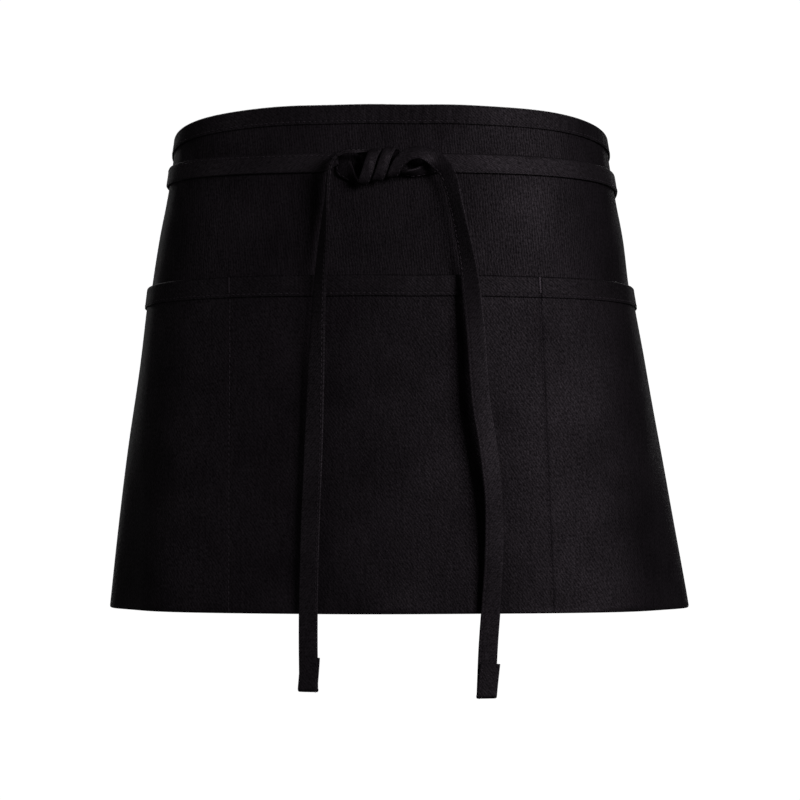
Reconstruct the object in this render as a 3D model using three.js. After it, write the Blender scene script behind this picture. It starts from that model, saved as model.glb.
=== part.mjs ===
// A waist apron of twill, tied at the front, in the form that it has when it is worn.
// Millimetres, +Z up. The front faces -Y, and +X is on the right of someone who looks at it.
// The origin is the centre of the waist, level with the ties at the front.
// Everything is placed on one skin, the outer face of the body panel. A place on it is an arc, in
// millimetres along the cloth from the front centre, a drop below the top edge, and an out
// distance away from the skin.
import * as THREE from "three";

// Body of the apron
const APRON_HEIGHT = 304; // top edge to hem, upright, at the front
const APRON_WIDTH = 610; // the cloth laid flat, side to side
const FRONT_TOP = 35.2; // the top edge above the origin, at the front
const WAIST_HALF_WIDTH = 135;
const WAIST_DEPTH = 100; // front centre of the waist to its middle
const ROUNDNESS = 2.8; // exponent of the waist's superellipse, 2 is an ellipse
const SIDE_SAG = 20; // how far the top edge falls from the front to the sides
const BACK_RISE = 0.3; // share of that sag regained round the back
const SAG_SOFTNESS = 0.25; // how gently the edge turns at the sides
const FOLD_HEIGHT = 5;
const PANEL_WALL = 1;

// Waistband, a strip folded over the top edge
const WAISTBAND_HEIGHT = 11.7;
const WAISTBAND_WALL = 1;

// Pocket, sewn on along its sides, its bottom and two upright lines
const POCKET_HEIGHT = 201.4; // mouth to hem
const POCKET_WALL = 1;
const POCKET_BILLOW = 2; // how far the middle compartment's mouth stands off
const SIDE_BILLOW = 0.3; // and those of the outer compartments
const POCKET_BAND_HEIGHT = 12.6;
const POCKET_BAND_WALL = 1;
const CENTRE_POCKET_HALF = 92;

// Ties, one from each end of the waistband, crossed behind and knotted in front
const TIE_WIDTH = 11.5;
const TIE_THICKNESS = 1.6;
const TIE_DROP = 35.2; // top edge to the middle of the tie, at the front
const TIE_SAG_LEFT = 4;
const TIE_SAG_RIGHT = 9;
const KNOT_REACH = 36; // front centre to where each tie leaves the cloth for the knot
const KNOT_TAPE_WIDTH = 6.8; // the tape is bunched inside the knot
const TIP_FOLD = 19; // the end of each tie, folded up on its front
const TIP_FOLD_OPEN = 0.7; // room inside that fold

// Clearances
const SEAM_GAP = 0.3; // between layers that are sewn together
const TIE_GAP = 0.55; // between a tie and what it lies on

// Fineness of the mesh
const PANEL_STEPS = 60;
const POCKET_ROWS = 8;
const UPPER_ROWS = 4;
const WRAP_STEPS = 60;
const STRAND_SUBSTEPS = 2;
const TIP_FOLD_STEPS = 6;
const RING_STEPS = 720;

const TWILL = { color: 0x16131a, roughness: 0.85, metalness: 0 };
const BINDING = { color: 0x151219, roughness: 0.8, metalness: 0 };

// The waist's ring at heights from the top edge to the hem. `at` is a share of APRON_HEIGHT,
// `left` and `right` of WAIST_HALF_WIDTH, `front` and `back` of WAIST_DEPTH, `sag` of SIDE_SAG.
const SECTIONS = [
  { at: 0.0, left: 1.0, right: 1.0, front: 1.0, back: 0.95, sag: 1.0 },
  { at: 0.115, left: 1.033, right: 1.037, front: 1.03, back: 0.97, sag: 0.74 },
  { at: 0.23, left: 1.079, right: 1.08, front: 1.07, back: 1.0, sag: 0.48 },
  { at: 0.338, left: 1.1135, right: 1.108, front: 1.1, back: 1.02, sag: 0.35 },
  { at: 0.493, left: 1.151, right: 1.172, front: 1.13, back: 1.05, sag: 0.3 },
  { at: 0.658, left: 1.201, right: 1.231, front: 1.16, back: 1.07, sag: 0.25 },
  { at: 0.822, left: 1.239, right: 1.287, front: 1.19, back: 1.09, sag: 0.2 },
  { at: 1.0, left: 1.279, right: 1.3545, front: 1.22, back: 1.11, sag: 0.175 },
];

// Soft folds that hang down the cloth. `arc` and `spread` are shares of half the APRON_WIDTH,
// `height` of FOLD_HEIGHT, outwards, and `start` of APRON_HEIGHT.
const FOLDS = [
  { arc: -0.04, spread: 0.17, height: 0.9, start: 0.12 },
  { arc: -0.58, spread: 0.075, height: -0.7, start: 0.4 },
  { arc: -0.72, spread: 0.08, height: 0.5, start: 0.35 },
  { arc: 0.6, spread: 0.08, height: -0.6, start: 0.45 },
  { arc: 0.74, spread: 0.08, height: 0.6, start: 0.35 },
  { arc: -0.9, spread: 0.07, height: -0.5, start: 0.3 },
  { arc: 0.9, spread: 0.07, height: -0.5, start: 0.3 },
];

// The two upright lines that part the pocket into three, as shares of CENTRE_POCKET_HALF.
const DIVISIONS = [
  { side: "left", mouth: -1.06, hem: -1.05 },
  { side: "right", mouth: 0.975, hem: 1.055 },
];

// Where the ties' strands run in front of the cloth, from the knot to their tips, in
// millimetres: x to the right, out from the skin, z above the origin, then the way that the
// tape's face looks, as x, out and z. Chosen by hand.
const LOOP_LEFT = [
  [-21.2, 9.2, 6.3, -0.2, 0.35, 1.0],
  [-26.8, 10.0, 6.0, -0.3, 0.3, 1.0],
  [-32.0, 10.0, 3.2, -0.8, 0.2, 0.7],
  [-35.2, 9.8, -2.2, -1.0, 0.15, 0.2],
  [-36.4, 9.6, -9.0, -1.0, 0.15, 0.0],
];
const TAIL_LEFT = [
  [-37.4, 9.2, -22.0, -0.98, 0.2, 0.0],
  [-39.4, 9.6, -48.0, -0.85, 0.5, 0.0],
  [-41.6, 10.2, -81.0, -0.7, 0.7, 0.0],
  [-43.4, 8.8, -125.0, -0.45, 0.9, 0.0],
  [-45.0, 7.0, -171.0, -0.22, 1.0, 0.0],
  [-46.8, 5.4, -215.0, -0.12, 1.0, 0.0],
  [-47.9, 4.6, -257.0, -0.08, 1.0, 0.0],
  [-48.1, 4.4, -285.0, -0.08, 1.0, 0.0],
  [-47.8, 4.4, -312.5, -0.1, 1.0, 0.0],
];
const LOOP_RIGHT = [
  [6.6, 11.2, 0.8, -0.1, 1.0, 0.0],
  [11.5, 11.6, 4.2, 0.0, 0.95, 0.25],
  [17.5, 11.4, 5.0, 0.0, 0.9, 0.4],
  [23.5, 11.2, 3.0, -0.2, 0.9, 0.3],
  [29.0, 11.0, -1.2, -0.5, 0.85, 0.1],
  [33.2, 11.0, -6.6, -0.68, 0.75, 0.0],
  [35.6, 11.0, -13.0, -0.7, 0.72, 0.0],
];
const TAIL_RIGHT = [
  [37.6, 11.0, -22.0, -0.8, 0.6, 0.0],
  [41.2, 11.0, -39.0, -0.8, 0.6, 0.0],
  [44.6, 11.0, -57.0, -0.7, 0.7, 0.0],
  [47.2, 11.2, -77.0, -0.35, 0.95, 0.0],
  [49.6, 12.0, -101.0, -0.1, 1.0, 0.0],
  [52.4, 12.8, -142.0, 0.0, 1.0, 0.05],
  [56.8, 12.6, -171.0, 0.1, 1.0, 0.0],
  [60.2, 10.4, -201.0, 0.1, 1.0, 0.0],
  [60.6, 7.6, -235.0, 0.0, 1.0, 0.0],
  [59.2, 5.8, -262.0, -0.05, 1.0, 0.0],
  [57.4, 5.4, -288.0, 0.0, 1.0, 0.0],
  [56.2, 5.4, -316.5, 0.05, 1.0, 0.0],
];

// The knot: the two strands wind round each other on an oval coil that lies across the front.
// `x` to the right, `middle` above the origin, `rise` the coil's half-height, `out` of its
// middle from the skin and `thick` its half-depth.
const KNOT_LEFT_END = { x: -17, middle: -3.4, rise: 9.4, out: 6.3, thick: 4.2 };
const KNOT_RIGHT_END = { x: 9, middle: 1.2, rise: 7.6, out: 6.3, thick: 4.2 };
const KNOT_HALF_TURNS = 3;
const KNOT_STEPS = 36;
const KNOT_LEAVE = 0.78; // share of the coil after which the tie from the left leaves in front

const HALF_PANEL = APRON_WIDTH / 2;
const POCKET_MOUTH = APRON_HEIGHT - POCKET_HEIGHT;
const TAPE_HALF = TIE_THICKNESS / 2;

// The value of one column of a table at a share, on a smooth curve through its rows.
function column(rows, name, at) {
  const last = rows.length - 1;
  const here = THREE.MathUtils.clamp(at, rows[0].at, rows[last].at);
  let i = 0;
  while (i < last - 1 && here > rows[i + 1].at) i++;
  const slope = (k) => {
    const before = rows[Math.max(k - 1, 0)];
    const after = rows[Math.min(k + 1, last)];
    return (after[name] - before[name]) / (after.at - before.at);
  };
  const span = rows[i + 1].at - rows[i].at;
  const t = (here - rows[i].at) / span;
  const rest = 1 - t;
  return (
    rows[i][name] * (1 + 2 * t) * rest * rest +
    rows[i + 1][name] * (3 - 2 * t) * t * t +
    slope(i) * span * t * rest * rest -
    slope(i + 1) * span * t * t * rest
  );
}

const rings = new Map();

// The closed outline of the skin at a share of the height, with its arc length from the front.
function ring(share) {
  const key = share.toFixed(5);
  if (rings.has(key)) return rings.get(key);
  const left = WAIST_HALF_WIDTH * column(SECTIONS, "left", share);
  const right = WAIST_HALF_WIDTH * column(SECTIONS, "right", share);
  const front = WAIST_DEPTH * column(SECTIONS, "front", share);
  const back = WAIST_DEPTH * column(SECTIONS, "back", share);
  const rounded = (v) => Math.sign(v) * Math.abs(v) ** (2 / ROUNDNESS);
  const points = [];
  for (let i = 0; i <= RING_STEPS; i++) {
    const turn = (2 * Math.PI * i) / RING_STEPS;
    const x = (turn > Math.PI ? left : right) * rounded(Math.sin(turn));
    const y = -(Math.cos(turn) < 0 ? back : front) * rounded(Math.cos(turn));
    const before = points[i - 1];
    const arc = before ? before.arc + Math.hypot(x - before.x, y - before.y) : 0;
    points.push({ x, y, arc });
  }
  const made = { points, front, back, length: points[RING_STEPS].arc };
  rings.set(key, made);
  return made;
}

// The point of an outline at an arc, to the right of the front centre if positive.
function along(outline, arc) {
  const { points, length } = outline;
  const there = ((arc % length) + length) % length;
  let low = 0;
  let high = points.length - 1;
  while (high - low > 1) {
    const middle = (low + high) >> 1;
    if (points[middle].arc > there) high = middle;
    else low = middle;
  }
  const from = points[low];
  const to = points[high];
  const t = (there - from.arc) / (to.arc - from.arc);
  return { x: from.x + (to.x - from.x) * t, y: from.y + (to.y - from.y) * t };
}

// How far the soft folds push the cloth out at an arc and a share of the height.
function foldHeight(arc, share) {
  let height = 0;
  for (const fold of FOLDS) {
    const across = (arc / HALF_PANEL - fold.arc) / fold.spread;
    const down = THREE.MathUtils.smoothstep(share, fold.start, 1);
    height += FOLD_HEIGHT * fold.height * down * Math.exp(-across * across);
  }
  return height;
}

// How far round the waist an arc lies: -1 at the front, 0 at the sides, 1 at the back.
function depthShare(outline, arc) {
  const { y } = along(outline, arc);
  return y / (y < 0 ? outline.front : outline.back);
}

// How far the cloth hangs below its height at the front: not in front, most at the sides, and
// a part of that is regained behind.
function sagAt(share, depth) {
  const ramp = (depth + Math.hypot(depth, SAG_SOFTNESS)) / 2;
  return SIDE_SAG * column(SECTIONS, "sag", share) * (1 + depth - (1 + BACK_RISE) * ramp);
}

// The point at an arc and a drop, an out distance away from the skin.
function skin(arc, drop, out) {
  const share = Math.min(drop / APRON_HEIGHT, 1);
  const outline = ring(share);
  const here = along(outline, arc);
  const ahead = along(outline, arc + 1);
  const behind = along(outline, arc - 1);
  const away = new THREE.Vector2(ahead.y - behind.y, behind.x - ahead.x).normalize();
  away.multiplyScalar(out + foldHeight(arc, share));
  const z = FRONT_TOP - drop - sagAt(share, depthShare(outline, arc));
  return new THREE.Vector3(here.x + away.x, here.y + away.y, z);
}

// A closed mesh from rings of corners, each ring joined to the next, with both ends capped.
// Each ring is a list of pairs that follow a folded wall: its outer and its inner corner.
function wallMesh(name, sections, finish) {
  const pairs = sections[0].length;
  const loop = 2 * pairs;
  const corners = [];
  for (const section of sections) {
    for (const pair of section) corners.push(...pair[0].toArray());
    for (const pair of [...section].reverse()) corners.push(...pair[1].toArray());
  }
  const faces = [];
  const quad = (a, b, c, d) => faces.push(a, b, c, a, c, d);
  const apart = (i, j) => {
    const from = new THREE.Vector3().fromArray(corners, 3 * i);
    return from.distanceTo(new THREE.Vector3().fromArray(corners, 3 * j));
  };
  for (let i = 0; i < sections.length - 1; i++) {
    for (let j = 0; j < loop; j++) {
      const a = i * loop + j;
      const b = i * loop + ((j + 1) % loop);
      // Both faces of every layer are split on the shorter diagonal, so they stay parallel.
      if (apart(a, b + loop) < apart(b, a + loop)) quad(a, b, b + loop, a + loop);
      else quad(b, b + loop, a + loop, a);
    }
  }
  const end = (sections.length - 1) * loop;
  for (let j = 0; j < pairs - 1; j++) {
    quad(j, loop - 1 - j, loop - 2 - j, j + 1);
    quad(end + j, end + j + 1, end + loop - 2 - j, end + loop - 1 - j);
  }
  const geometry = new THREE.BufferGeometry();
  geometry.setAttribute("position", new THREE.Float32BufferAttribute(corners, 3));
  geometry.setIndex(facingOut(corners, faces));
  geometry.computeVertexNormals();
  const mesh = new THREE.Mesh(geometry, new THREE.MeshStandardMaterial(finish));
  mesh.name = name;
  return mesh;
}

// The same faces, turned round if they enclose a negative volume.
function facingOut(corners, faces) {
  const at = (i) => new THREE.Vector3().fromArray(corners, 3 * i);
  let volume = 0;
  for (let i = 0; i < faces.length; i += 3) {
    volume += at(faces[i]).dot(at(faces[i + 1]).cross(at(faces[i + 2])));
  }
  return volume < 0 ? [...faces].reverse() : faces;
}

// A strip of folded cloth along the arc: section(arc) gives its pairs as [out, drop] twice.
function clothStrip(name, section, finish) {
  const sections = [];
  for (let i = 0; i <= PANEL_STEPS; i++) {
    const arc = -HALF_PANEL + (APRON_WIDTH * i) / PANEL_STEPS;
    const place = ([out, drop]) => skin(arc, drop, out);
    sections.push(section(arc).map((pair) => pair.map(place)));
  }
  return wallMesh(name, sections, finish);
}

// Drops from one height to another in equal steps.
function rowsBetween(from, to, steps) {
  return Array.from({ length: steps + 1 }, (_, i) => from + ((to - from) * i) / steps);
}

// Rows down the pocket, which the body panel shares, so that the two stay parallel.
function pocketDrops() {
  const foot = POCKET_MOUTH + POCKET_BAND_HEIGHT;
  const rows = rowsBetween(foot, APRON_HEIGHT - POCKET_WALL, POCKET_ROWS).slice(0, -1);
  return [POCKET_MOUTH + POCKET_BAND_WALL + SEAM_GAP, ...rows];
}

function bodyPanel() {
  const top = WAISTBAND_WALL + SEAM_GAP;
  const bottom = APRON_HEIGHT - POCKET_WALL - SEAM_GAP;
  const upper = rowsBetween(WAISTBAND_HEIGHT, POCKET_MOUTH, UPPER_ROWS);
  const drops = [top, ...upper, ...pocketDrops(), bottom];
  const pairs = drops.map((drop) => [[0, drop], [-PANEL_WALL, drop]]);
  return clothStrip("body_panel", () => pairs, TWILL);
}

function waistband() {
  const outside = SEAM_GAP + WAISTBAND_WALL;
  const inside = -PANEL_WALL - outside;
  const ply = [
    [[outside, WAISTBAND_HEIGHT], [SEAM_GAP, WAISTBAND_HEIGHT]],
    [[outside, 0], [SEAM_GAP, WAISTBAND_WALL]],
    [[inside, 0], [-PANEL_WALL - SEAM_GAP, WAISTBAND_WALL]],
    [[inside, WAISTBAND_HEIGHT], [-PANEL_WALL - SEAM_GAP, WAISTBAND_HEIGHT]],
  ];
  return clothStrip("waistband", () => ply, BINDING);
}

// How far the pocket stands off the body: nothing at the seams, most at each mouth's middle.
function pocketBillow(arc, drop) {
  const down = THREE.MathUtils.clamp((drop - POCKET_MOUTH) / POCKET_HEIGHT, 0, 1);
  const lines = DIVISIONS.map((line) => {
    return CENTRE_POCKET_HALF * THREE.MathUtils.lerp(line.mouth, line.hem, down);
  });
  const edges = [-HALF_PANEL, ...lines, HALF_PANEL];
  let i = 0;
  while (i < edges.length - 2 && arc > edges[i + 1]) i++;
  const share = THREE.MathUtils.clamp((arc - edges[i]) / (edges[i + 1] - edges[i]), 0, 1);
  const most = i === 1 ? POCKET_BILLOW : SIDE_BILLOW;
  return most * Math.sin(Math.PI * share) ** 2 * (1 - down) ** 2;
}

function pocketPanel() {
  const near = SEAM_GAP;
  const far = near + POCKET_WALL;
  const lip = APRON_HEIGHT - POCKET_WALL;
  const section = (arc) => {
    const pairs = pocketDrops().map((drop) => {
      const billow = pocketBillow(arc, drop);
      return [[far + billow, drop], [near + billow, drop]];
    });
    pairs.push([[far, APRON_HEIGHT], [near, lip]]);
    pairs.push([[-PANEL_WALL, APRON_HEIGHT], [-PANEL_WALL, lip]]);
    return pairs;
  };
  return clothStrip("pocket_panel", section, TWILL);
}

// A strip sewn to the pocket's front and turned in over its mouth.
function pocketBand() {
  const near = SEAM_GAP + POCKET_WALL + SEAM_GAP;
  const far = near + POCKET_BAND_WALL;
  const foot = POCKET_MOUTH + POCKET_BAND_HEIGHT;
  const inner = POCKET_MOUTH + POCKET_BAND_WALL;
  const section = (arc) => {
    const billow = pocketBillow(arc, foot);
    const mouth = pocketBillow(arc, inner);
    return [
      [[far + billow, foot], [near + billow, foot]],
      [[far + mouth, POCKET_MOUTH], [near + mouth, inner]],
      [[SEAM_GAP + mouth, POCKET_MOUTH], [SEAM_GAP + mouth, inner]],
    ];
  };
  return clothStrip("pocket_band", section, BINDING);
}

// The drop at which the skin has a given height at an arc.
function dropAt(arc, z) {
  let drop = FRONT_TOP - z;
  for (let i = 0; i < 6; i++) {
    const share = THREE.MathUtils.clamp(drop / APRON_HEIGHT, 0, 1);
    drop = FRONT_TOP - z - sagAt(share, depthShare(ring(share), arc));
  }
  return drop;
}

// The tie's run from the waistband's end, across the back and round to the front, as pairs of
// corners. `side` is 1 for the tie that comes round the right, which is sewn on at the left,
// and -1 for the other. `over` lifts it where the two ties cross.
function wrap(side, sag, over) {
  const bandDrop = WAISTBAND_HEIGHT / 2;
  const bandShare = bandDrop / APRON_HEIGHT;
  const tieShare = TIE_DROP / APRON_HEIGHT;
  const leave = (HALF_PANEL + SEAM_GAP) / ring(bandShare).length;
  const land = 1 - HALF_PANEL / ring(tieShare).length;
  const end = 1 - KNOT_REACH / ring(tieShare).length;
  const sections = [];
  for (let i = 0; i <= WRAP_STEPS; i++) {
    const round = leave + ((end - leave) * i) / WRAP_STEPS;
    const blend = THREE.MathUtils.smoothstep(round, leave, land);
    const share = THREE.MathUtils.lerp(bandShare, tieShare, blend);
    const arc = -side * round * ring(share).length;
    const depth = depthShare(ring(share), arc);
    const fromBand = FRONT_TOP - bandDrop - sagAt(bandShare, depth);
    const fromTie = FRONT_TOP - TIE_DROP - sag * (1 + depth);
    const middle = dropAt(arc, THREE.MathUtils.lerp(fromBand, fromTie, blend));
    const resting = THREE.MathUtils.lerp(-PANEL_WALL / 2, TIE_GAP + TAPE_HALF, blend);
    const out = resting + over * Math.sin(Math.PI * blend) ** 2;
    const corner = (wide, deep) => {
      return skin(arc, middle - side * wide * (TIE_WIDTH / 2), out + deep * TAPE_HALF);
    };
    sections.push([
      [corner(-1, 1), corner(-1, -1)],
      [corner(1, 1), corner(1, -1)],
    ]);
  }
  return sections;
}

// A station of a tape: its middle, the way its face looks and its width. A row gives x, out
// and z, and the face in the skin's own directions, to the right, away and up.
function station(row, width = TIE_WIDTH) {
  const [x, out, z, faceRight, faceAway, faceUp] = row;
  const drop = FRONT_TOP - z;
  const at = skin(x, drop, out);
  const right = skin(x + 1, drop, out).sub(skin(x - 1, drop, out)).normalize();
  const up = skin(x, drop - 1, out).sub(skin(x, drop + 1, out)).normalize();
  const away = new THREE.Vector3().crossVectors(right, up).normalize();
  const face = right.multiplyScalar(faceRight).addScaledVector(away, faceAway);
  return { at, face: face.addScaledVector(up, faceUp).normalize(), width };
}

// Stations on the knot's oval coil, from an angle in half turns at its left end. 0 is the
// front, 0.5 the top. `until` is the share of the coil that the strand follows.
function coil(startAngle, until) {
  const stations = [];
  for (let i = 0; i <= Math.round(until * KNOT_STEPS); i++) {
    const t = i / KNOT_STEPS;
    const mix = (name) => THREE.MathUtils.lerp(KNOT_LEFT_END[name], KNOT_RIGHT_END[name], t);
    const angle = Math.PI * (startAngle + KNOT_HALF_TURNS * t);
    const out = mix("out") + mix("thick") * Math.cos(angle);
    const z = mix("middle") + mix("rise") * Math.sin(angle);
    const face = [0, Math.cos(angle) / mix("thick"), Math.sin(angle) / mix("rise")];
    stations.push(station([mix("x"), out, z, ...face], KNOT_TAPE_WIDTH));
  }
  return stations;
}

// The stations of a loop, where the tape opens from its width in the knot to its full width.
function loop(rows) {
  return rows.map((row, i) => {
    const open = (i + 1) / rows.length;
    return station(row, THREE.MathUtils.lerp(KNOT_TAPE_WIDTH, TIE_WIDTH, open));
  });
}

// Stations between the given ones, on a smooth curve through them.
function smoothed(stations, substeps) {
  const points = stations.map((here) => here.at);
  const curve = new THREE.CatmullRomCurve3(points, false, "centripetal");
  const spans = stations.length - 1;
  return Array.from({ length: spans * substeps + 1 }, (_, i) => {
    const from = Math.min(Math.floor(i / substeps), spans - 1);
    const part = i / substeps - from;
    const face = stations[from].face.clone().lerp(stations[from + 1].face, part);
    const width = THREE.MathUtils.lerp(stations[from].width, stations[from + 1].width, part);
    return { at: curve.getPoint(i / (spans * substeps)), face, width };
  });
}

// The corners of a flat tape at each of its stations.
function tapeSections(stations) {
  return stations.map((here, i) => {
    const ahead = stations[Math.min(i + 1, stations.length - 1)].at;
    const behind = stations[Math.max(i - 1, 0)].at;
    const way = new THREE.Vector3().subVectors(ahead, behind).normalize();
    const across = new THREE.Vector3().crossVectors(way, here.face).normalize();
    const face = new THREE.Vector3().crossVectors(across, way).normalize();
    const corner = (wide, deep) => {
      const edge = here.at.clone().addScaledVector(across, (wide * here.width) / 2);
      return edge.addScaledVector(face, deep * TAPE_HALF);
    };
    return [
      [corner(-1, 1), corner(-1, -1)],
      [corner(1, 1), corner(1, -1)],
    ];
  });
}

// The end of a tail, folded up on its front, after the tail's last station.
function foldedTip(last) {
  const front = new THREE.Vector3(last.face.x, last.face.y, 0).normalize();
  const down = new THREE.Vector3(0, 0, -1);
  const radius = TAPE_HALF + TIP_FOLD_OPEN / 2;
  const centre = last.at.clone().addScaledVector(front, radius);
  const stations = [];
  for (let i = 1; i <= TIP_FOLD_STEPS; i++) {
    const angle = (Math.PI * i) / TIP_FOLD_STEPS;
    const away = front.clone().multiplyScalar(-Math.cos(angle));
    away.addScaledVector(down, Math.sin(angle));
    const at = centre.clone().addScaledVector(away, radius);
    stations.push({ at, face: away.negate(), width: TIE_WIDTH });
  }
  const turned = stations[TIP_FOLD_STEPS - 1];
  for (const rise of [0.5, 1]) {
    const at = turned.at.clone().addScaledVector(down, -rise * TIP_FOLD);
    stations.push({ at, face: turned.face, width: TIE_WIDTH });
  }
  return stations;
}

// A tie with its half of the knot, and the tail that hangs from it, cut where the loop ends.
function tieAndTail(tieName, tailName, wrapped, knotStations, tailRows) {
  const hanging = tailRows.map((row) => station(row));
  const stations = smoothed([...knotStations, ...hanging], STRAND_SUBSTEPS);
  const tip = foldedTip(stations[stations.length - 1]);
  const sections = tapeSections([...stations, ...tip]);
  const cut = (knotStations.length - 1) * STRAND_SUBSTEPS;
  const way = stations[cut + 1].at.clone().sub(stations[cut].at).setLength(SEAM_GAP);
  const start = sections[cut].map((pair) => pair.map((corner) => corner.clone().add(way)));
  return [
    wallMesh(tieName, [...wrapped, ...sections.slice(0, cut + 1)], BINDING),
    wallMesh(tailName, [start, ...sections.slice(cut + 1)], BINDING),
  ];
}

// The tie that comes round the left goes in below, over the other, under it and over it again,
// and falls from the knot's right.
function tieRoundLeft() {
  const wrapped = wrap(-1, TIE_SAG_LEFT, TIE_THICKNESS + 2 * TIE_GAP);
  const knot = [
    station([-28, 2.6, -3.4, 0, 1, -0.3]),
    station([-22, 3.9, -9.6, 0, 0.6, -0.8], KNOT_TAPE_WIDTH),
    ...coil(-0.5, KNOT_LEAVE),
    ...loop(LOOP_RIGHT),
  ];
  return tieAndTail("tie_left", "tail_right", wrapped, knot, TAIL_RIGHT);
}

// The tie that comes round the right goes in below too, and falls from the left.
function tieRoundRight() {
  const wrapped = wrap(1, TIE_SAG_RIGHT, 0);
  const knot = [
    station([28, 2.4, -0.8, 0, 1, -0.1]),
    station([21, 4.0, -4.2, 0, 0.85, -0.5], KNOT_TAPE_WIDTH),
    station([14.5, 5.4, -6.4, 0, 0.5, -0.85], KNOT_TAPE_WIDTH),
    ...coil(0.5, 1).reverse(),
    ...loop(LOOP_LEFT),
  ];
  return tieAndTail("tie_right", "tail_left", wrapped, knot, TAIL_LEFT);
}

const apron = new THREE.Group();
apron.add(bodyPanel(), waistband(), pocketPanel(), pocketBand());
apron.add(...tieRoundLeft(), ...tieRoundRight());

export default apron;
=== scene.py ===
"""A waist apron of black twill, tied at the front and worn on a waist that isn't shown.

Every shape is worked out in millimetres, in the frame of the CAD part: +X is on the right of
someone who looks at the front, which faces -Y, and +Z is up. The origin is the centre of the
waist, level with the ties at the front. A place on the cloth is an arc, in millimetres along it
from the front centre, a drop below the top edge, and an out distance away from the skin, which
is the outer face of the body panel.
"""

import math

import bpy
import numpy as np
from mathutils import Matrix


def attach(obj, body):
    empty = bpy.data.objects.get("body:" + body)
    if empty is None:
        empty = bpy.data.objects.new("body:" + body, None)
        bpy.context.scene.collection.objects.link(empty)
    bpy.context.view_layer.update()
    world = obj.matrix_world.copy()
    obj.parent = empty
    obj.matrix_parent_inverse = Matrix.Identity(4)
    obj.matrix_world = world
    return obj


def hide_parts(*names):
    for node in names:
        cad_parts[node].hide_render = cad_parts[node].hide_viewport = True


bl_info = {
    "name": "Waist Apron",
    "version": (1, 0, 0),
    "blender": (4, 5, 0),
    "location": "View3D > Sidebar > Apron",
    "description": "Builds a tied waist apron with a three-part pocket, piece by piece",
    "category": "Add Mesh",
}

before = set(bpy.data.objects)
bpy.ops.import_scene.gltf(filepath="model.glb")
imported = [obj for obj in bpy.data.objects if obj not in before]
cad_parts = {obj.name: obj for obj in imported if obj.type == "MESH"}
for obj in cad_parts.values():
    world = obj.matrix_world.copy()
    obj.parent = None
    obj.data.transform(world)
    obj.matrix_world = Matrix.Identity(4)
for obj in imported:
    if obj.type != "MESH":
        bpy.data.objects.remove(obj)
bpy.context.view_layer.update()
MM = 0.001

# Body of the apron, as in the CAD source
APRON_HEIGHT = 304.0
APRON_WIDTH = 610.0
HALF_PANEL = APRON_WIDTH / 2
FRONT_TOP = 35.2
WAIST_HALF_WIDTH = 135.0
WAIST_DEPTH = 100.0
ROUNDNESS = 2.8
SIDE_SAG = 20.0
BACK_RISE = 0.3
SAG_SOFTNESS = 0.25
FOLD_HEIGHT = 5.0
PANEL_WALL = 1.0
LAYER_GAP = 0.3
LAYER = PANEL_WALL + LAYER_GAP

# Waistband and pocket
WAISTBAND_HEIGHT = 11.7
POCKET_HEIGHT = 201.4
POCKET_MOUTH = APRON_HEIGHT - POCKET_HEIGHT
POCKET_BILLOW = 2.0
SIDE_BILLOW = 0.3
POCKET_BAND_HEIGHT = 12.6
POCKET_BAND_FOOT = POCKET_MOUTH + POCKET_BAND_HEIGHT
CENTRE_POCKET_HALF = 92.0
LEFT_DIVISION = (-1.06, -1.05)
RIGHT_DIVISION = (0.975, 1.055)

# Ties
TIE_WIDTH = 11.5
TAPE_HALF = 0.8
TIE_DROP = 35.2
TIE_SAG_LEFT = 4.0
TIE_SAG_RIGHT = 9.0
KNOT_REACH = 36.0
KNOT_TAPE_WIDTH = 6.8
TIP_FOLD = 19.0
TIP_FOLD_OPEN = 0.7
TIE_GAP = 0.55

# The waist's ring at heights from the top edge to the hem, as shares of the sizes above.
SECTIONS = np.array(
    [
        (0.0, 1.0, 1.0, 1.0, 0.95, 1.0),
        (0.115, 1.033, 1.037, 1.03, 0.97, 0.74),
        (0.23, 1.079, 1.08, 1.07, 1.0, 0.48),
        (0.338, 1.1135, 1.108, 1.1, 1.02, 0.35),
        (0.493, 1.151, 1.172, 1.13, 1.05, 0.3),
        (0.658, 1.201, 1.231, 1.16, 1.07, 0.25),
        (0.822, 1.239, 1.287, 1.19, 1.09, 0.2),
        (1.0, 1.279, 1.3545, 1.22, 1.11, 0.175),
    ],
    dtype=[(name, float) for name in ("at", "left", "right", "front", "back", "sag")],
)

# Soft folds down the cloth: shares of HALF_PANEL, HALF_PANEL, FOLD_HEIGHT and APRON_HEIGHT.
FOLDS = np.array(
    [
        (-0.04, 0.17, 0.9, 0.12),
        (-0.58, 0.075, -0.7, 0.4),
        (-0.72, 0.08, 0.5, 0.35),
        (0.6, 0.08, -0.6, 0.45),
        (0.74, 0.08, 0.6, 0.35),
        (-0.9, 0.07, -0.5, 0.3),
        (0.9, 0.07, -0.5, 0.3),
    ],
    dtype=[(name, float) for name in ("arc", "spread", "height", "start")],
)

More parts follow.
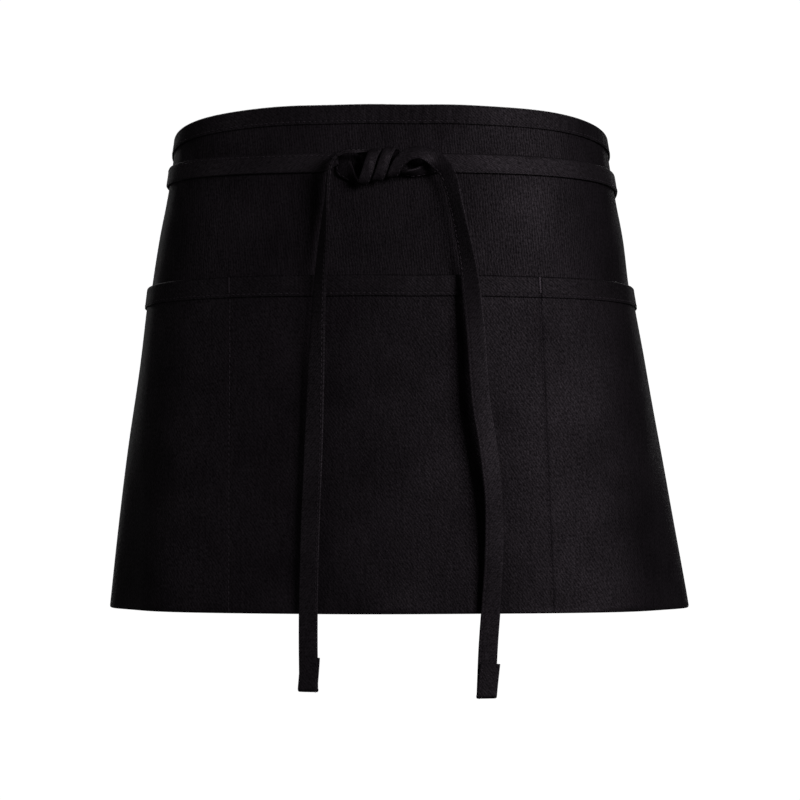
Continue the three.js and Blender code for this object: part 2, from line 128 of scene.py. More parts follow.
# Small creases in the cloth above the pocket, in millimetres and degrees from upright.
CREASES = np.array(
    [
        (-97.0, 18.0, 14.0, 8.0, 3.0, -0.35),
        (-103.0, 54.0, 12.0, 12.0, 4.0, -0.6),
        (-84.0, 56.0, 15.0, 22.0, 4.5, -0.65),
        (-94.0, 60.0, 16.0, 14.0, 5.0, 0.4),
        (150.0, 22.0, 12.0, -10.0, 3.5, 0.35),
        (146.0, 60.0, 20.0, -58.0, 4.5, 0.4),
        (158.0, 68.0, 22.0, -55.0, 5.0, -0.35),
        (112.0, 72.0, 26.0, -40.0, 7.0, 0.3),
        (-140.0, 62.0, 24.0, 50.0, 6.0, 0.35),
        (40.0, 76.0, 26.0, -20.0, 8.0, 0.25),
        (-38.0, 78.0, 24.0, 16.0, 8.0, 0.2),
    ],
    dtype=[(name, float) for name in ("arc", "drop", "length", "tilt", "width", "height")],
)

# The strands in front of the cloth: x, out and z, then the way the tape's face looks.
LOOP_LEFT = np.array(
    [
        (-21.2, 9.2, 6.3, -0.2, 0.35, 1.0),
        (-26.8, 10.0, 6.0, -0.3, 0.3, 1.0),
        (-32.0, 10.0, 3.2, -0.8, 0.2, 0.7),
        (-35.2, 9.8, -2.2, -1.0, 0.15, 0.2),
        (-36.4, 9.6, -9.0, -1.0, 0.15, 0.0),
    ]
)
TAIL_LEFT = np.array(
    [
        (-37.4, 9.2, -22.0, -0.98, 0.2, 0.0),
        (-39.4, 9.6, -48.0, -0.85, 0.5, 0.0),
        (-41.6, 10.2, -81.0, -0.7, 0.7, 0.0),
        (-43.4, 8.8, -125.0, -0.45, 0.9, 0.0),
        (-45.0, 7.0, -171.0, -0.22, 1.0, 0.0),
        (-46.8, 5.4, -215.0, -0.12, 1.0, 0.0),
        (-47.9, 4.6, -257.0, -0.08, 1.0, 0.0),
        (-48.1, 4.4, -285.0, -0.08, 1.0, 0.0),
        (-47.8, 4.4, -312.5, -0.1, 1.0, 0.0),
    ]
)
LOOP_RIGHT = np.array(
    [
        (6.6, 11.2, 0.8, -0.1, 1.0, 0.0),
        (11.5, 11.6, 4.2, 0.0, 0.95, 0.25),
        (17.5, 11.4, 5.0, 0.0, 0.9, 0.4),
        (23.5, 11.2, 3.0, -0.2, 0.9, 0.3),
        (29.0, 11.0, -1.2, -0.5, 0.85, 0.1),
        (33.2, 11.0, -6.6, -0.68, 0.75, 0.0),
        (35.6, 11.0, -13.0, -0.7, 0.72, 0.0),
    ]
)
TAIL_RIGHT = np.array(
    [
        (37.6, 11.0, -22.0, -0.8, 0.6, 0.0),
        (41.2, 11.0, -39.0, -0.8, 0.6, 0.0),
        (44.6, 11.0, -57.0, -0.7, 0.7, 0.0),
        (47.2, 11.2, -77.0, -0.35, 0.95, 0.0),
        (49.6, 12.0, -101.0, -0.1, 1.0, 0.0),
        (52.4, 12.8, -142.0, 0.0, 1.0, 0.05),
        (56.8, 12.6, -171.0, 0.1, 1.0, 0.0),
        (60.2, 10.4, -201.0, 0.1, 1.0, 0.0),
        (60.6, 7.6, -235.0, 0.0, 1.0, 0.0),
        (59.2, 5.8, -262.0, -0.05, 1.0, 0.0),
        (57.4, 5.4, -288.0, 0.0, 1.0, 0.0),
        (56.2, 5.4, -316.5, 0.05, 1.0, 0.0),
    ]
)
ENTRY_LEFT = np.array([(-28.0, 2.6, -3.4, 0.0, 1.0, -0.3), (-22.0, 3.9, -9.6, 0.0, 0.6, -0.8)])
ENTRY_RIGHT = np.array(
    [
        (28.0, 2.4, -0.8, 0.0, 1.0, -0.1),
        (21.0, 4.0, -4.2, 0.0, 0.85, -0.5),
        (14.5, 5.4, -6.4, 0.0, 0.5, -0.85),
    ]
)

# The knot's oval coil at its left and right ends: x, middle, rise, out and thick.
COIL_LEFT = np.array([-17.0, -3.4, 9.4, 6.3, 4.2])
COIL_RIGHT = np.array([9.0, 1.2, 7.6, 6.3, 4.2])
COIL_HALF_TURNS = 3
COIL_STEPS = 36
KNOT_LEAVE = 0.78

# Half of the tape's section, from its open edge to its folded edge: across and up. The open
# edge shows its two plies, and the dip beside it is where the edge is stitched.
TAPE_SECTION = np.array(
    [
        (-5.30, 0.03),
        (-5.62, 0.18),
        (-5.75, 0.42),
        (-5.62, 0.66),
        (-5.20, 0.78),
        (-4.75, 0.76),
        (-4.35, 0.64),
        (-3.95, 0.76),
        (-3.00, 0.81),
        (-1.50, 0.83),
        (0.00, 0.83),
        (1.50, 0.83),
        (3.20, 0.82),
        (4.60, 0.79),
        (5.30, 0.68),
        (5.65, 0.42),
        (5.75, 0.12),
    ]
)
TAPE_DIP = 6

RING_ROWS = 305
RING_COLUMNS = 1440
CLOTH_STEP = 2.4
BAND_STEP = 1.5

# Hems and their stitches, from the cloth's side, and a band's stitches, from its lower edge.
HEM_WIDTH = 8.6
HEM_EDGE = 7.4
HEM_STITCHES = 6.6
HEM_ARCS = (HEM_EDGE - HALF_PANEL, HALF_PANEL - HEM_EDGE)
BAND_STITCHES = 1.6

# The rows of corners up a band's front, and how far its lower edge is rounded.
BAND_ROWS = 12
BAND_ROUNDING = 0.35

# Steps along the tapes, as counts and as lengths.
WRAP_RINGS = 240
CURVE_STEPS = 40
TIP_STEPS = 14
KNOT_STEP = 0.8
TAIL_STEP = 1.4

# The length along a tape at which a tail's weave starts.
TAIL_CLOTH_START = 700

# Where extra arcs lie beside a seam, and how a strip's last rings draw in to its middle.
SEAM_OFFSETS = np.array([-3.2, -2.4, -1.6, -1.1, -0.7, -0.35, 0, 0.35, 0.7, 1.1, 1.6, 2.4, 3.2])
SEAM_CLEARANCE = 3.6
END_STEPS = np.array([0.0, 0.15, 0.45])
END_INSETS = np.array([0.35, 0.75])

# A wave texture at scale 1 repeats after this length.
WAVE_PERIOD = 0.31416

# The floor: how far it lies below the origin, its flat part and the rise of its rim, in metres.
FLOOR_DEPTH = 1.0
FLOOR_RADIUS = 5.0
FLOOR_RIM = 1.5
FLOOR_SIDES = 96

# The camera's place in metres, its lens and film in millimetres, and how high the lights aim.
CAMERA_PLACE = (0.0057, -1.9, -0.142)
CAMERA_LENS = 135
CAMERA_FILM = 36
LIGHT_AIM = -0.13

# The lights: azimuth and elevation in degrees, distance and size in metres, and watts.
LIGHTS = (
    ("Key", 42, 18, 2.4, (1.1, 0.9), 46),
    ("Fill", -60, 10, 2.4, (1.2, 1.2), 7),
    ("Back", 180, 52, 2.4, (1.6, 1.0), 60),
    ("Rim_Left", -155, 5, 2.0, (0.3, 1.4), 1.6),
    ("Rim_Right", 155, 5, 2.0, (0.3, 1.4), 1.2),
)
WORLD_STRENGTH = 0.05


# Cloth skin


def column(table, name, at):
    """One column of a table at any share: a cubic through the rows, whose slope at a row is
    that of the chord between its neighbours."""
    knots = table["at"]
    values = table[name]
    index = np.arange(len(knots))
    before = np.maximum(index - 1, 0)
    after = np.minimum(index + 1, len(knots) - 1)
    slopes = (values[after] - values[before]) / (knots[after] - knots[before])
    here = np.clip(at, knots[0], knots[-1])
    i = np.clip(np.searchsorted(knots, here, side="right") - 1, 0, len(knots) - 2)
    span = knots[i + 1] - knots[i]
    t = (here - knots[i]) / span
    rest = 1 - t
    ends = values[i] * (1 + 2 * t) * rest**2 + values[i + 1] * (3 - 2 * t) * t**2
    return ends + slopes[i] * span * t * rest**2 - slopes[i + 1] * span * t**2 * rest


def smoothstep(value, low, high):
    """0 below low, 1 above high, and 3t^2 - 2t^3 between."""
    t = np.clip((value - low) / (high - low), 0, 1)
    return t * t * (3 - 2 * t)


def ring_tables():
    """The skin's outline at RING_ROWS heights: |x / half width|^n + |y / depth|^n = 1, with its
    own half width on each side and its own depth in front and behind, walked from the front
    centre to the right and spaced in equal fractions of its length."""
    shares = np.linspace(0, 1, RING_ROWS)
    turn = np.linspace(0, 2 * np.pi, 2 * RING_COLUMNS + 1)
    sine = np.sin(turn)
    cosine = np.cos(turn)
    left = WAIST_HALF_WIDTH * column(SECTIONS, "left", shares)[:, None]
    right = WAIST_HALF_WIDTH * column(SECTIONS, "right", shares)[:, None]
    front = WAIST_DEPTH * column(SECTIONS, "front", shares)[:, None]
    back = WAIST_DEPTH * column(SECTIONS, "back", shares)[:, None]
    power = 2 / ROUNDNESS
    x = np.where(turn > np.pi, left, right) * np.sign(sine) * np.abs(sine) ** power
    y = -np.where(cosine < 0, back, front) * np.sign(cosine) * np.abs(cosine) ** power
    steps = np.hypot(np.diff(x, axis=1), np.diff(y, axis=1))
    arcs = np.concatenate([np.zeros((RING_ROWS, 1)), np.cumsum(steps, axis=1)], axis=1)
    lengths = arcs[:, -1]
    even = np.linspace(0, 1, RING_COLUMNS + 1)
    xs = np.stack([np.interp(even * lengths[r], arcs[r], x[r]) for r in range(RING_ROWS)])
    ys = np.stack([np.interp(even * lengths[r], arcs[r], y[r]) for r in range(RING_ROWS)])
    return xs, ys, lengths


RING_X, RING_Y, RING_LENGTHS = ring_tables()


def ring_length(share):
    """The outline's length at a share of the height."""
    return np.interp(share, np.linspace(0, 1, RING_ROWS), RING_LENGTHS)


def height_share(drop):
    """How far down the apron a drop lies: 0 at the top edge and 1 at the hem."""
    return np.clip(drop / APRON_HEIGHT, 0, 1)


def outline(share, arc):
    """The outline's x and y at a share and an arc, mixed from the table's four nearest places."""
    share, arc = np.broadcast_arrays(np.clip(share, 0, 1), arc)
    row = share * (RING_ROWS - 1)
    i = np.minimum(row.astype(int), RING_ROWS - 2)
    down = row - i
    length = RING_LENGTHS[i] * (1 - down) + RING_LENGTHS[i + 1] * down
    place = np.mod(arc / length, 1) * RING_COLUMNS
    j = np.minimum(place.astype(int), RING_COLUMNS - 1)
    along = place - j

    def mixed(table):
        upper = table[i, j] * (1 - along) + table[i, j + 1] * along
        lower = table[i + 1, j] * (1 - along) + table[i + 1, j + 1] * along
        return upper * (1 - down) + lower * down

    return mixed(RING_X), mixed(RING_Y)


def depth_share(share, arc):
    """How far round the waist an arc lies: -1 at the front, 0 at the sides, 1 at the back."""
    y = outline(share, arc)[1]
    front = WAIST_DEPTH * column(SECTIONS, "front", share)
    back = WAIST_DEPTH * column(SECTIONS, "back", share)
    return y / np.where(y < 0, front, back)


def sag_at(share, depth):
    """How far the cloth hangs below its front height: nothing in front, most at the sides, with
    a part of it regained behind, on a softened ramp."""
    ramp = (depth + np.hypot(depth, SAG_SOFTNESS)) / 2
    return SIDE_SAG * column(SECTIONS, "sag", share) * (1 + depth - (1 + BACK_RISE) * ramp)


def fold_height(arc, share):
    """The soft folds: a sum of bell curves along the arc, each growing from its start down."""
    height = 0.0
    for fold in FOLDS:
        across = (arc / HALF_PANEL - fold["arc"]) / fold["spread"]
        grown = smoothstep(share, fold["start"], 1)
        height = height + FOLD_HEIGHT * fold["height"] * grown * np.exp(-across * across)
    return height


def skin(arc, drop, out):
    """The point at an arc and a drop, moved out level from the outline, along the normal that
    its neighbours 1 mm to either side give."""
    arc, drop, out = np.broadcast_arrays(arc, drop, out)
    share = height_share(drop)
    x, y = outline(share, arc)
    ahead = outline(share, arc + 1)
    behind = outline(share, arc - 1)
    across = ahead[1] - behind[1]
    back = behind[0] - ahead[0]
    moved = (out + fold_height(arc, share)) / np.hypot(across, back)
    z = FRONT_TOP - drop - sag_at(share, depth_share(share, arc))
    return np.stack([x + across * moved, y + back * moved, z], axis=-1)


def relief(arc, drop):
    """The cloth's own unevenness, added to out: puckers that hang from the waistband and fade
    in ten millimetres, long shallow waves, and the creases of the table, each a bell curve
    across and along its line. All of it dies away under the waistband and under the tie."""
    sizes = bpy.context.scene.apron_sizes
    below = np.maximum(drop - WAISTBAND_HEIGHT, 0)
    phase = arc / 2.55 + 1.9 * np.sin(arc / 31) + 1.1 * np.sin(arc / 12.7 + 2)
    swell = 0.6 + 0.4 * np.sin(arc / 23 + 1)
    pucker = swell * np.sin(phase) * np.exp(-below / 9) * smoothstep(below, 0, 4)
    height = sizes.pucker_height / MM * pucker
    waves = np.sin(arc / 17 + drop / 46 + 1.3) * np.sin(arc / 41 - drop / 71)
    waves = waves + 0.7 * np.sin(arc / 29 - drop / 38 + 0.4) * np.sin(drop / 33 + arc / 90)
    height = height + sizes.wave_height / MM * waves * smoothstep(drop, 12, 60)
    for crease in CREASES:
        angle = math.radians(crease["tilt"])
        across = (arc - crease["arc"]) * math.cos(angle) - (drop - crease["drop"]) * math.sin(angle)
        along = (arc - crease["arc"]) * math.sin(angle) + (drop - crease["drop"]) * math.cos(angle)
        shape = np.exp(-((across / crease["width"]) ** 2) - (along / crease["length"]) ** 2)
        height = height + crease["height"] * shape
    under_tie = 1 - 0.9 * np.exp(-(((drop - TIE_DROP) / 11) ** 4))
    return height * under_tie * smoothstep(drop, WAISTBAND_HEIGHT - 1, WAISTBAND_HEIGHT + 3)


def pocket_share(drop):
    """How far down the pocket a drop lies: 0 at its mouth and 1 at the hem."""
    return np.clip((drop - POCKET_MOUTH) / POCKET_HEIGHT, 0, 1)


def division_arcs(drop):
    """Where the two upright seams of the pocket lie at a drop."""
    down = pocket_share(drop)
    left = CENTRE_POCKET_HALF * (LEFT_DIVISION[0] + (LEFT_DIVISION[1] - LEFT_DIVISION[0]) * down)
    right = CENTRE_POCKET_HALF * (RIGHT_DIVISION[0] + (RIGHT_DIVISION[1] - RIGHT_DIVISION[0]) * down)
    return left, right


def pocket_billow(arc, drop):
    """How far the pocket stands off the body: most sin^2(pi share) (1 - down)^2 in each of its
    compartments, nothing at the seams and the most at the middle of the mouth."""
    down = pocket_share(drop)
    left, right = division_arcs(drop)
    low = np.where(arc < left, -HALF_PANEL, np.where(arc < right, left, right))
    high = np.where(arc < left, left, np.where(arc < right, right, HALF_PANEL))
    share = np.clip((arc - low) / (high - low), 0, 1)
    most = np.where((arc >= left) & (arc < right), POCKET_BILLOW, SIDE_BILLOW)
    return most * np.sin(np.pi * share) ** 2 * (1 - down) ** 2


# Meshes


def unit(vectors):
    """The same vectors, one long."""
    return vectors / np.linalg.norm(vectors, axis=-1, keepdims=True)


def mesh_object(name, corners, faces, material, uv=None):
    """A smooth object from corners in millimetres, (n, 3), and quads, (m, 4), with sharp edges
    where faces meet at more than 50 degrees. uv holds a pair for each corner of each quad."""
    mesh = bpy.data.meshes.new(name)
    mesh.vertices.add(len(corners))
    mesh.vertices.foreach_set("co", (np.asarray(corners) * MM).astype(np.float32).ravel())
    mesh.loops.add(faces.size)
    mesh.loops.foreach_set("vertex_index", faces.astype(np.int32).ravel())
    mesh.polygons.add(len(faces))
    mesh.polygons.foreach_set("loop_start", np.arange(0, faces.size, 4, dtype=np.int32))
    mesh.update(calc_edges=True)
    mesh.validate()
    if uv is not None:
        layer = mesh.uv_layers.new(name="Cloth")
        layer.data.foreach_set("uv", (uv * MM).astype(np.float32).ravel())
    mesh.shade_smooth()
    mesh.set_sharp_from_angle(angle=math.radians(50))
    mesh.materials.append(material)
    made = bpy.data.objects.new(name, mesh)
    bpy.context.scene.collection.objects.link(made)
    return made


def enclosed_volume(corners, faces):
    """Six times the volume inside closed quads, as the sum of a . (b x c) over its triangles."""
    a, b, c, d = (corners[faces[:, k]] for k in range(4))
    crossed = np.cross(b, c) + np.cross(c, d)
    return np.sum(a * crossed)


def ring_quads(count, around):
    """The quads between closed rings of corners, each ring with the next."""
    i, j = np.meshgrid(np.arange(count - 1) * around, np.arange(around), indexing="ij")
    after = (j + 1) % around
    return np.stack([i + j, i + after, i + around + after, i + around + j], -1).reshape(-1, 4)


def lofted(name, rings, cloth_u, cloth_v, material):
    """A closed wall over rings, (rings, corners, 3): each ring's quads join it to the next, and
    the ends are closed by strips between corner j and its opposite, corners - 1 - j. The cloth's
    own coordinates, (rings, corners), go into the UV map, and don't cross the closing seam."""
    count, around = rings.shape[:2]
    corners = rings.reshape(-1, 3)
    j = np.arange(around // 2 - 1)
    start = np.stack([j, around - 1 - j, around - 2 - j, j + 1], -1)
    end = start[:, [0, 3, 2, 1]] + (count - 1) * around
    faces = np.concatenate([ring_quads(count, around), start, end])
    if enclosed_volume(corners, faces) < 0:
        faces = faces[:, ::-1]
    uv = np.stack([cloth_u.reshape(-1), cloth_v.reshape(-1)], -1)
    return mesh_object(name, corners, faces, material, uv[faces])


def cloth_wall(name, arcs, outer, inner, material, places=None):
    """A strip of folded cloth. outer(arc) and inner(arc) give the out and drop of its two faces
    as arrays (arcs, pairs). Its two ends are rounded off by rings that draw in to the middle."""
    ends = arcs[0] + END_STEPS
    arcs = np.concatenate([ends, arcs[1:-1], arcs[-1] - (ends - arcs[0])[::-1]])
    keep = np.ones((len(arcs), 1))
    keep[:2, 0] = END_INSETS
    keep[-2:, 0] = END_INSETS[::-1]
    across = arcs if places is None else places(arcs)
    face = np.stack(outer(across))
    back = np.stack(inner(across))
    middle = (face + back) / 2
    face = middle + (face - middle) * keep
    back = middle + (back - middle) * keep
    out, drop = np.concatenate([face, back[..., ::-1]], axis=2)
    if places is None:
        arc = np.broadcast_to(across[:, None], drop.shape)
    else:
        arc = np.concatenate([across, across[:, ::-1]], axis=1)
    fold = np.abs(np.diff(out, axis=1, prepend=out[:, :1])) > 0.25
    cloth_v = drop + np.cumsum(np.where(fold, 0.5, 0.0), axis=1)
    return lofted(name, skin(arc, drop, out), arc, cloth_v, material)


def arc_stops(step, refined=(), half=HALF_PANEL):
    """Arcs from one side to the other in even steps, and finer ones beside the given arcs."""
    even = np.linspace(-half, half, int(2 * half / step) + 1)
    for arc in refined:
        even = even[np.abs(even - arc) > SEAM_CLEARANCE]
    return np.sort(np.concatenate([even] + [arc + SEAM_OFFSETS for arc in refined]))


# Cloth pieces


def seam_dip(distance, depth=0.4, width=1.1):
    """The groove that a line of stitches pulls into the cloth, a bell curve of its distance."""
    return depth * np.exp(-((distance / width) ** 2))


def hem_dip(arc):
    """The groove of the stitches along each side hem."""
    return seam_dip(np.abs(arc) - (HALF_PANEL - HEM_STITCHES), 0.2, 0.8)


def side_hem(arc):
    """How much thicker the cloth is at its sides, where a hem is turned in."""
    return 0.7 * smoothstep(np.abs(arc), HALF_PANEL - HEM_WIDTH, HALF_PANEL - HEM_WIDTH + 1)


def body_face(arc, drop):
    """The out distance of the body's front: its relief, less the grooves along its side hems."""
    return relief(arc, drop) - hem_dip(arc)


def build_body_panel(material):
    """The body panel: a wall 1 mm thick on the skin, with its relief, a groove along each hem's
    stitches and the hem's second layer on its inner face."""
    drops = np.concatenate([[1.3, 6.0, 11.0], np.linspace(13, 302.95, 121)])

    def outer(arc):
        grid, drop = np.broadcast_arrays(arc[:, None], drops)
        return body_face(grid, drop), drop

    def inner(arc):
        grid, drop = np.broadcast_arrays(arc[:, None], drops)
        hem = side_hem(grid) * smoothstep(drop, 12.5, 15) * (1 - smoothstep(drop, 300, 302.5))
        return relief(grid, drop) - PANEL_WALL - hem, drop

    arcs = arc_stops(CLOTH_STEP, HEM_ARCS)
    return cloth_wall("Body_Panel", arcs, outer, inner, material)


def pocket_level(arc, drop):
    """How far out the pocket's cloth lies, with its billow and its relief."""
    return pocket_billow(arc, drop) + relief(arc, drop)


def pocket_face(arc, drop):
    """The out distance of the pocket's front, less the grooves along its upright seams and its
    side hems."""
    left, right = division_arcs(drop)
    out = LAYER + pocket_level(arc, drop)
    return out - seam_dip(arc - left) - seam_dip(arc - right) - hem_dip(arc)


def build_pocket_panel(material):
    """The pocket: a wall 1 mm thick in front of the body, folded under it along the hem."""
    straight = np.concatenate([[103.9, 106.0, 108.5, 111.5, 114.5], np.linspace(116.5, 302.6, 79)])
    fold_out = [1.2, 0.95, 0.5, -0.2, -0.7, -1.0]
    fold_drop = [303.3, 303.75, 304.0, 304.0, 303.9, 303.5]
    under_out = [0.3, 0.28, 0.2, -0.2, -0.6, -1.0]
    under_drop = [302.98, 303.0, 303.0, 303.0, 303.0, 303.0]
    drops = np.concatenate([straight, fold_drop])
    mouths = division_arcs(POCKET_MOUTH)

    def places(arcs):
        left, right = division_arcs(drops)
        arc = arcs[:, None]
        first = -HALF_PANEL + (arc + HALF_PANEL) * (left + HALF_PANEL) / (mouths[0] + HALF_PANEL)
        between = left + (arc - mouths[0]) * (right - left) / (mouths[1] - mouths[0])
        last = HALF_PANEL + (arc - HALF_PANEL) * (right - HALF_PANEL) / (mouths[1] - HALF_PANEL)
        return np.where(arc > mouths[1], last, np.where(arc < mouths[0], first, between))

    def outer(arc):
        drop = np.broadcast_to(drops, arc.shape)
        out = pocket_face(arc, drop)
        out[:, len(straight) :] = fold_out
        return out, drop

    def inner(arc):
        drop = np.broadcast_to(drops, arc.shape).copy()
        out = LAYER_GAP + pocket_level(arc, drop)
        out[:, len(straight) :] = under_out
        drop[:, len(straight) :] = under_drop
        return out, drop

    arcs = arc_stops(CLOTH_STEP, mouths + HEM_ARCS)
    return cloth_wall("Pocket_Panel", arcs, outer, inner, material, places)


def waver(arc, wave, bend, reach):
    """How a strip's folded edges wander up and down along it, as a column."""
    return 0.12 * np.sin(arc / wave + bend * np.sin(arc / reach))[:, None]


def build_waistband(material):
    """The waistband: a strip 1 mm thick folded over the top edge, with a groove along its
    stitches and a faint ripple between them, reaching 1.3 mm past the panel round each tie."""
    rise = np.linspace(WAISTBAND_HEIGHT - BAND_ROUNDING, LAYER, BAND_ROWS)
    bend = np.linspace(0, np.pi, 9)

    def folded(front, foot):
        """The out and drop of one face: up its front, over the fold and down its back."""
        side = np.full(BAND_ROWS, front)
        over = -0.5 + (front + 0.5) * np.cos(bend)
        out = np.concatenate([[foot], side, over, -PANEL_WALL - side, [-PANEL_WALL - foot]])
        top = LAYER - front * np.sin(bend)
        drop = np.concatenate([[WAISTBAND_HEIGHT], rise, top, rise[::-1], [WAISTBAND_HEIGHT]])
        return out, drop

    outer_out, outer_drop = folded(LAYER, 1.15)
    inner_out, inner_drop = folded(LAYER_GAP, 0.45)
    front = np.sign(outer_out + 0.5)

    def outer(arc):
        ripple = 0.1 * np.sin(arc / 1.05 + 0.8 * np.sin(arc / 19)) * np.sin(arc / 37 + 1)
        ripple = ripple[:, None] * smoothstep(outer_drop, 0.5, 6)
        groove = seam_dip(outer_drop - (WAISTBAND_HEIGHT - BAND_STITCHES), 0.25, 0.6)
        return outer_out + front * (ripple - groove), outer_drop + waver(arc, 11, 2, 53)

    def inner(arc):
        drop = inner_drop + waver(arc, 11, 2, 53)
        return np.broadcast_to(inner_out, drop.shape), drop

    arcs = arc_stops(BAND_STEP, (), HALF_PANEL + LAYER)
    return cloth_wall("Waistband", arcs, outer, inner, material)


def band_face(arc, drop):
    """The out distance of the pocket band's front, which follows the pocket's billow."""
    left, right = division_arcs(drop)
    out = 2 * LAYER + pocket_level(arc, drop)
    out = out - seam_dip(drop - (POCKET_BAND_FOOT - BAND_STITCHES), 0.25, 0.6)
    return out - seam_dip(arc - left, 0.35, 0.9) - seam_dip(arc - right, 0.55, 0.9)


def build_pocket_band(material):
    """The strip on the pocket's mouth, folded over it like the waistband over the top edge."""
    rise = np.linspace(POCKET_BAND_FOOT - BAND_ROUNDING, POCKET_MOUTH + 1.0, BAND_ROWS)
    bend = np.linspace(0, np.pi, 8)[1:]
    top = POCKET_MOUTH + 1.0 - np.sin(bend)
    outer_out = np.concatenate([[-0.15], np.zeros(BAND_ROWS), -1.15 + 1.15 * np.cos(bend), [-2.3]])
    outer_drop = np.concatenate([[POCKET_BAND_FOOT], rise, top, [POCKET_MOUTH + 1.6]])
    inner_out = np.concatenate([[-0.85], np.full(BAND_ROWS, -1.0), np.linspace(-1.05, -1.9, 8)])
    under = POCKET_MOUTH + np.linspace(1.0, 1.2, 8)
    inner_drop = np.concatenate([[POCKET_BAND_FOOT], rise, under])

    def outer(arc):
        grid, drop = np.broadcast_arrays(arc[:, None], outer_drop)
        return outer_out + band_face(grid, drop), drop + waver(arc, 13, 1.7, 47)

    def inner(arc):
        grid, drop = np.broadcast_arrays(arc[:, None], inner_drop)
        flat = 2 * LAYER + pocket_level(grid, drop)
        return inner_out + flat, drop + waver(arc, 13, 1.7, 47)

    arcs = arc_stops(BAND_STEP, division_arcs(POCKET_MOUTH))
    return cloth_wall("Pocket_Band", arcs, outer, inner, material)


# Ties


def drop_at(arc, z):
    """The drop at which the skin has a given height at an arc, by repeated correction."""
    drop = FRONT_TOP - z
    for _ in range(6):
        share = height_share(drop)
        drop = FRONT_TOP - z - sag_at(share, depth_share(share, arc))
    return drop


def wrap_rings(side, sag, over, section):
    """The tie's rings from the waistband's end, across the back and round to the front. They
    leave the waistband's middle and settle on the tie's own line on a smoothstep, and each
    corner of the section lies on the skin at its own drop."""
    band_drop = WAISTBAND_HEIGHT / 2
    band_share = band_drop / APRON_HEIGHT
    tie_share = TIE_DROP / APRON_HEIGHT
    leave = (HALF_PANEL + 0.3) / ring_length(band_share)
    land = 1 - HALF_PANEL / ring_length(tie_share)
    end = 1 - KNOT_REACH / ring_length(tie_share)
    turn = np.linspace(leave, end, WRAP_RINGS)
    blend = smoothstep(turn, leave, land)
    share = band_share + (tie_share - band_share) * blend
    arc = -side * turn * ring_length(share)
    depth = depth_share(share, arc)
    from_band = FRONT_TOP - band_drop - sag_at(band_share, depth)
    from_tie = FRONT_TOP - TIE_DROP - sag * (1 + depth)
    middle = drop_at(arc, from_band + (from_tie - from_band) * blend)
    out = -PANEL_WALL / 2 + (TIE_GAP + TAPE_HALF + PANEL_WALL / 2) * blend
    out = out + over * np.sin(np.pi * blend) ** 2
    return skin(arc[:, None], middle[:, None] - side * section[:, 0], out[:, None] + section[:, 1])


def stations(rows, width=TIE_WIDTH):
    """The middle, face and width, (n, 7), of a tape at rows of x, out, z and a face given in
    the skin's own directions: to the right, away and up."""
    x, out, z = rows[:, 0], rows[:, 1], rows[:, 2]
    drop = FRONT_TOP - z
    right = unit(skin(x + 1, drop, out) - skin(x - 1, drop, out))
    up = unit(skin(x, drop - 1, out) - skin(x, drop + 1, out))
    away = unit(np.cross(right, up))
    face = unit(right * rows[:, 3:4] + away * rows[:, 4:5] + up * rows[:, 5:6])
    return np.column_stack([skin(x, drop, out), face, np.full(len(rows), width)])


def coil(start_angle, until):
    """The strand on the knot's coil: out = middle + thick cos(angle), z = middle + rise
    sin(angle), while x and the oval's sizes pass from the left end's to the right end's. It
    follows the coil for a share of its length."""
    t = np.arange(round(until * COIL_STEPS) + 1) / COIL_STEPS
    x, middle, rise, out, thick = COIL_LEFT[:, None] + (COIL_RIGHT - COIL_LEFT)[:, None] * t
    angle = np.pi * (start_angle + COIL_HALF_TURNS * t)
    rows = [x, out + thick * np.cos(angle), middle + rise * np.sin(angle)]
    rows += [np.zeros_like(t), np.cos(angle) / thick, np.sin(angle) / rise]
    return stations(np.column_stack(rows), KNOT_TAPE_WIDTH)


def loop(rows):
    """A loop's stations, where the tape opens evenly from its width in the knot to its own."""
    made = stations(rows)
    open_share = np.arange(1, len(rows) + 1) / len(rows)
    made[:, 6] = KNOT_TAPE_WIDTH + (TIE_WIDTH - KNOT_TAPE_WIDTH) * open_share
    return made


def entry(rows):
    """The stations before the knot, where the tape narrows to its width in it."""
    return np.concatenate([stations(rows[:1]), stations(rows[1:], KNOT_TAPE_WIDTH)])


def smoothed(points, substeps):
    """A centripetal Catmull-Rom curve through stations: on each span a cubic whose slopes come
    from the neighbours, weighted by the square roots of the distances. Faces and widths are
    mixed evenly."""
    at = points[:, :3]
    first = 2 * at[0] - at[1]
    last = 2 * at[-1] - at[-2]
    padded = np.concatenate([[first], at, [last]])
    a, b, c, d = padded[:-3], padded[1:-2], padded[2:-1], padded[3:]
    d0, d1, d2 = (np.sqrt(np.linalg.norm(q - p, axis=1))[:, None] for p, q in ((a, b), (b, c), (c, d)))
    slope_b = ((b - a) / d0 - (c - a) / (d0 + d1) + (c - b) / d1) * d1
    slope_c = ((c - b) / d1 - (d - b) / (d1 + d2) + (d - c) / d2) * d1
    t = np.linspace(0, 1, substeps, endpoint=False)[:, None, None]
    cubic = b + slope_b * t + (3 * (c - b) - 2 * slope_b - slope_c) * t**2
    cubic = cubic + (2 * (b - c) + slope_b + slope_c) * t**3
    rest = points[:-1, 3:] * (1 - t) + points[1:, 3:] * t
    curve = np.concatenate([cubic, rest], axis=2).transpose(1, 0, 2).reshape(-1, 7)
    return np.concatenate([curve, points[-1:]])


def lengths_along(line):
    """How far along a line each of its points lies."""
    steps = np.linalg.norm(np.diff(line, axis=0), axis=1)
    return np.concatenate([[0], np.cumsum(steps)])


def columns_at(at, along, values):
    """Each column of values, (n, k), which lie at along, mixed for the places at."""
    return np.stack([np.interp(at, along, values[:, k]) for k in range(values.shape[1])], -1)


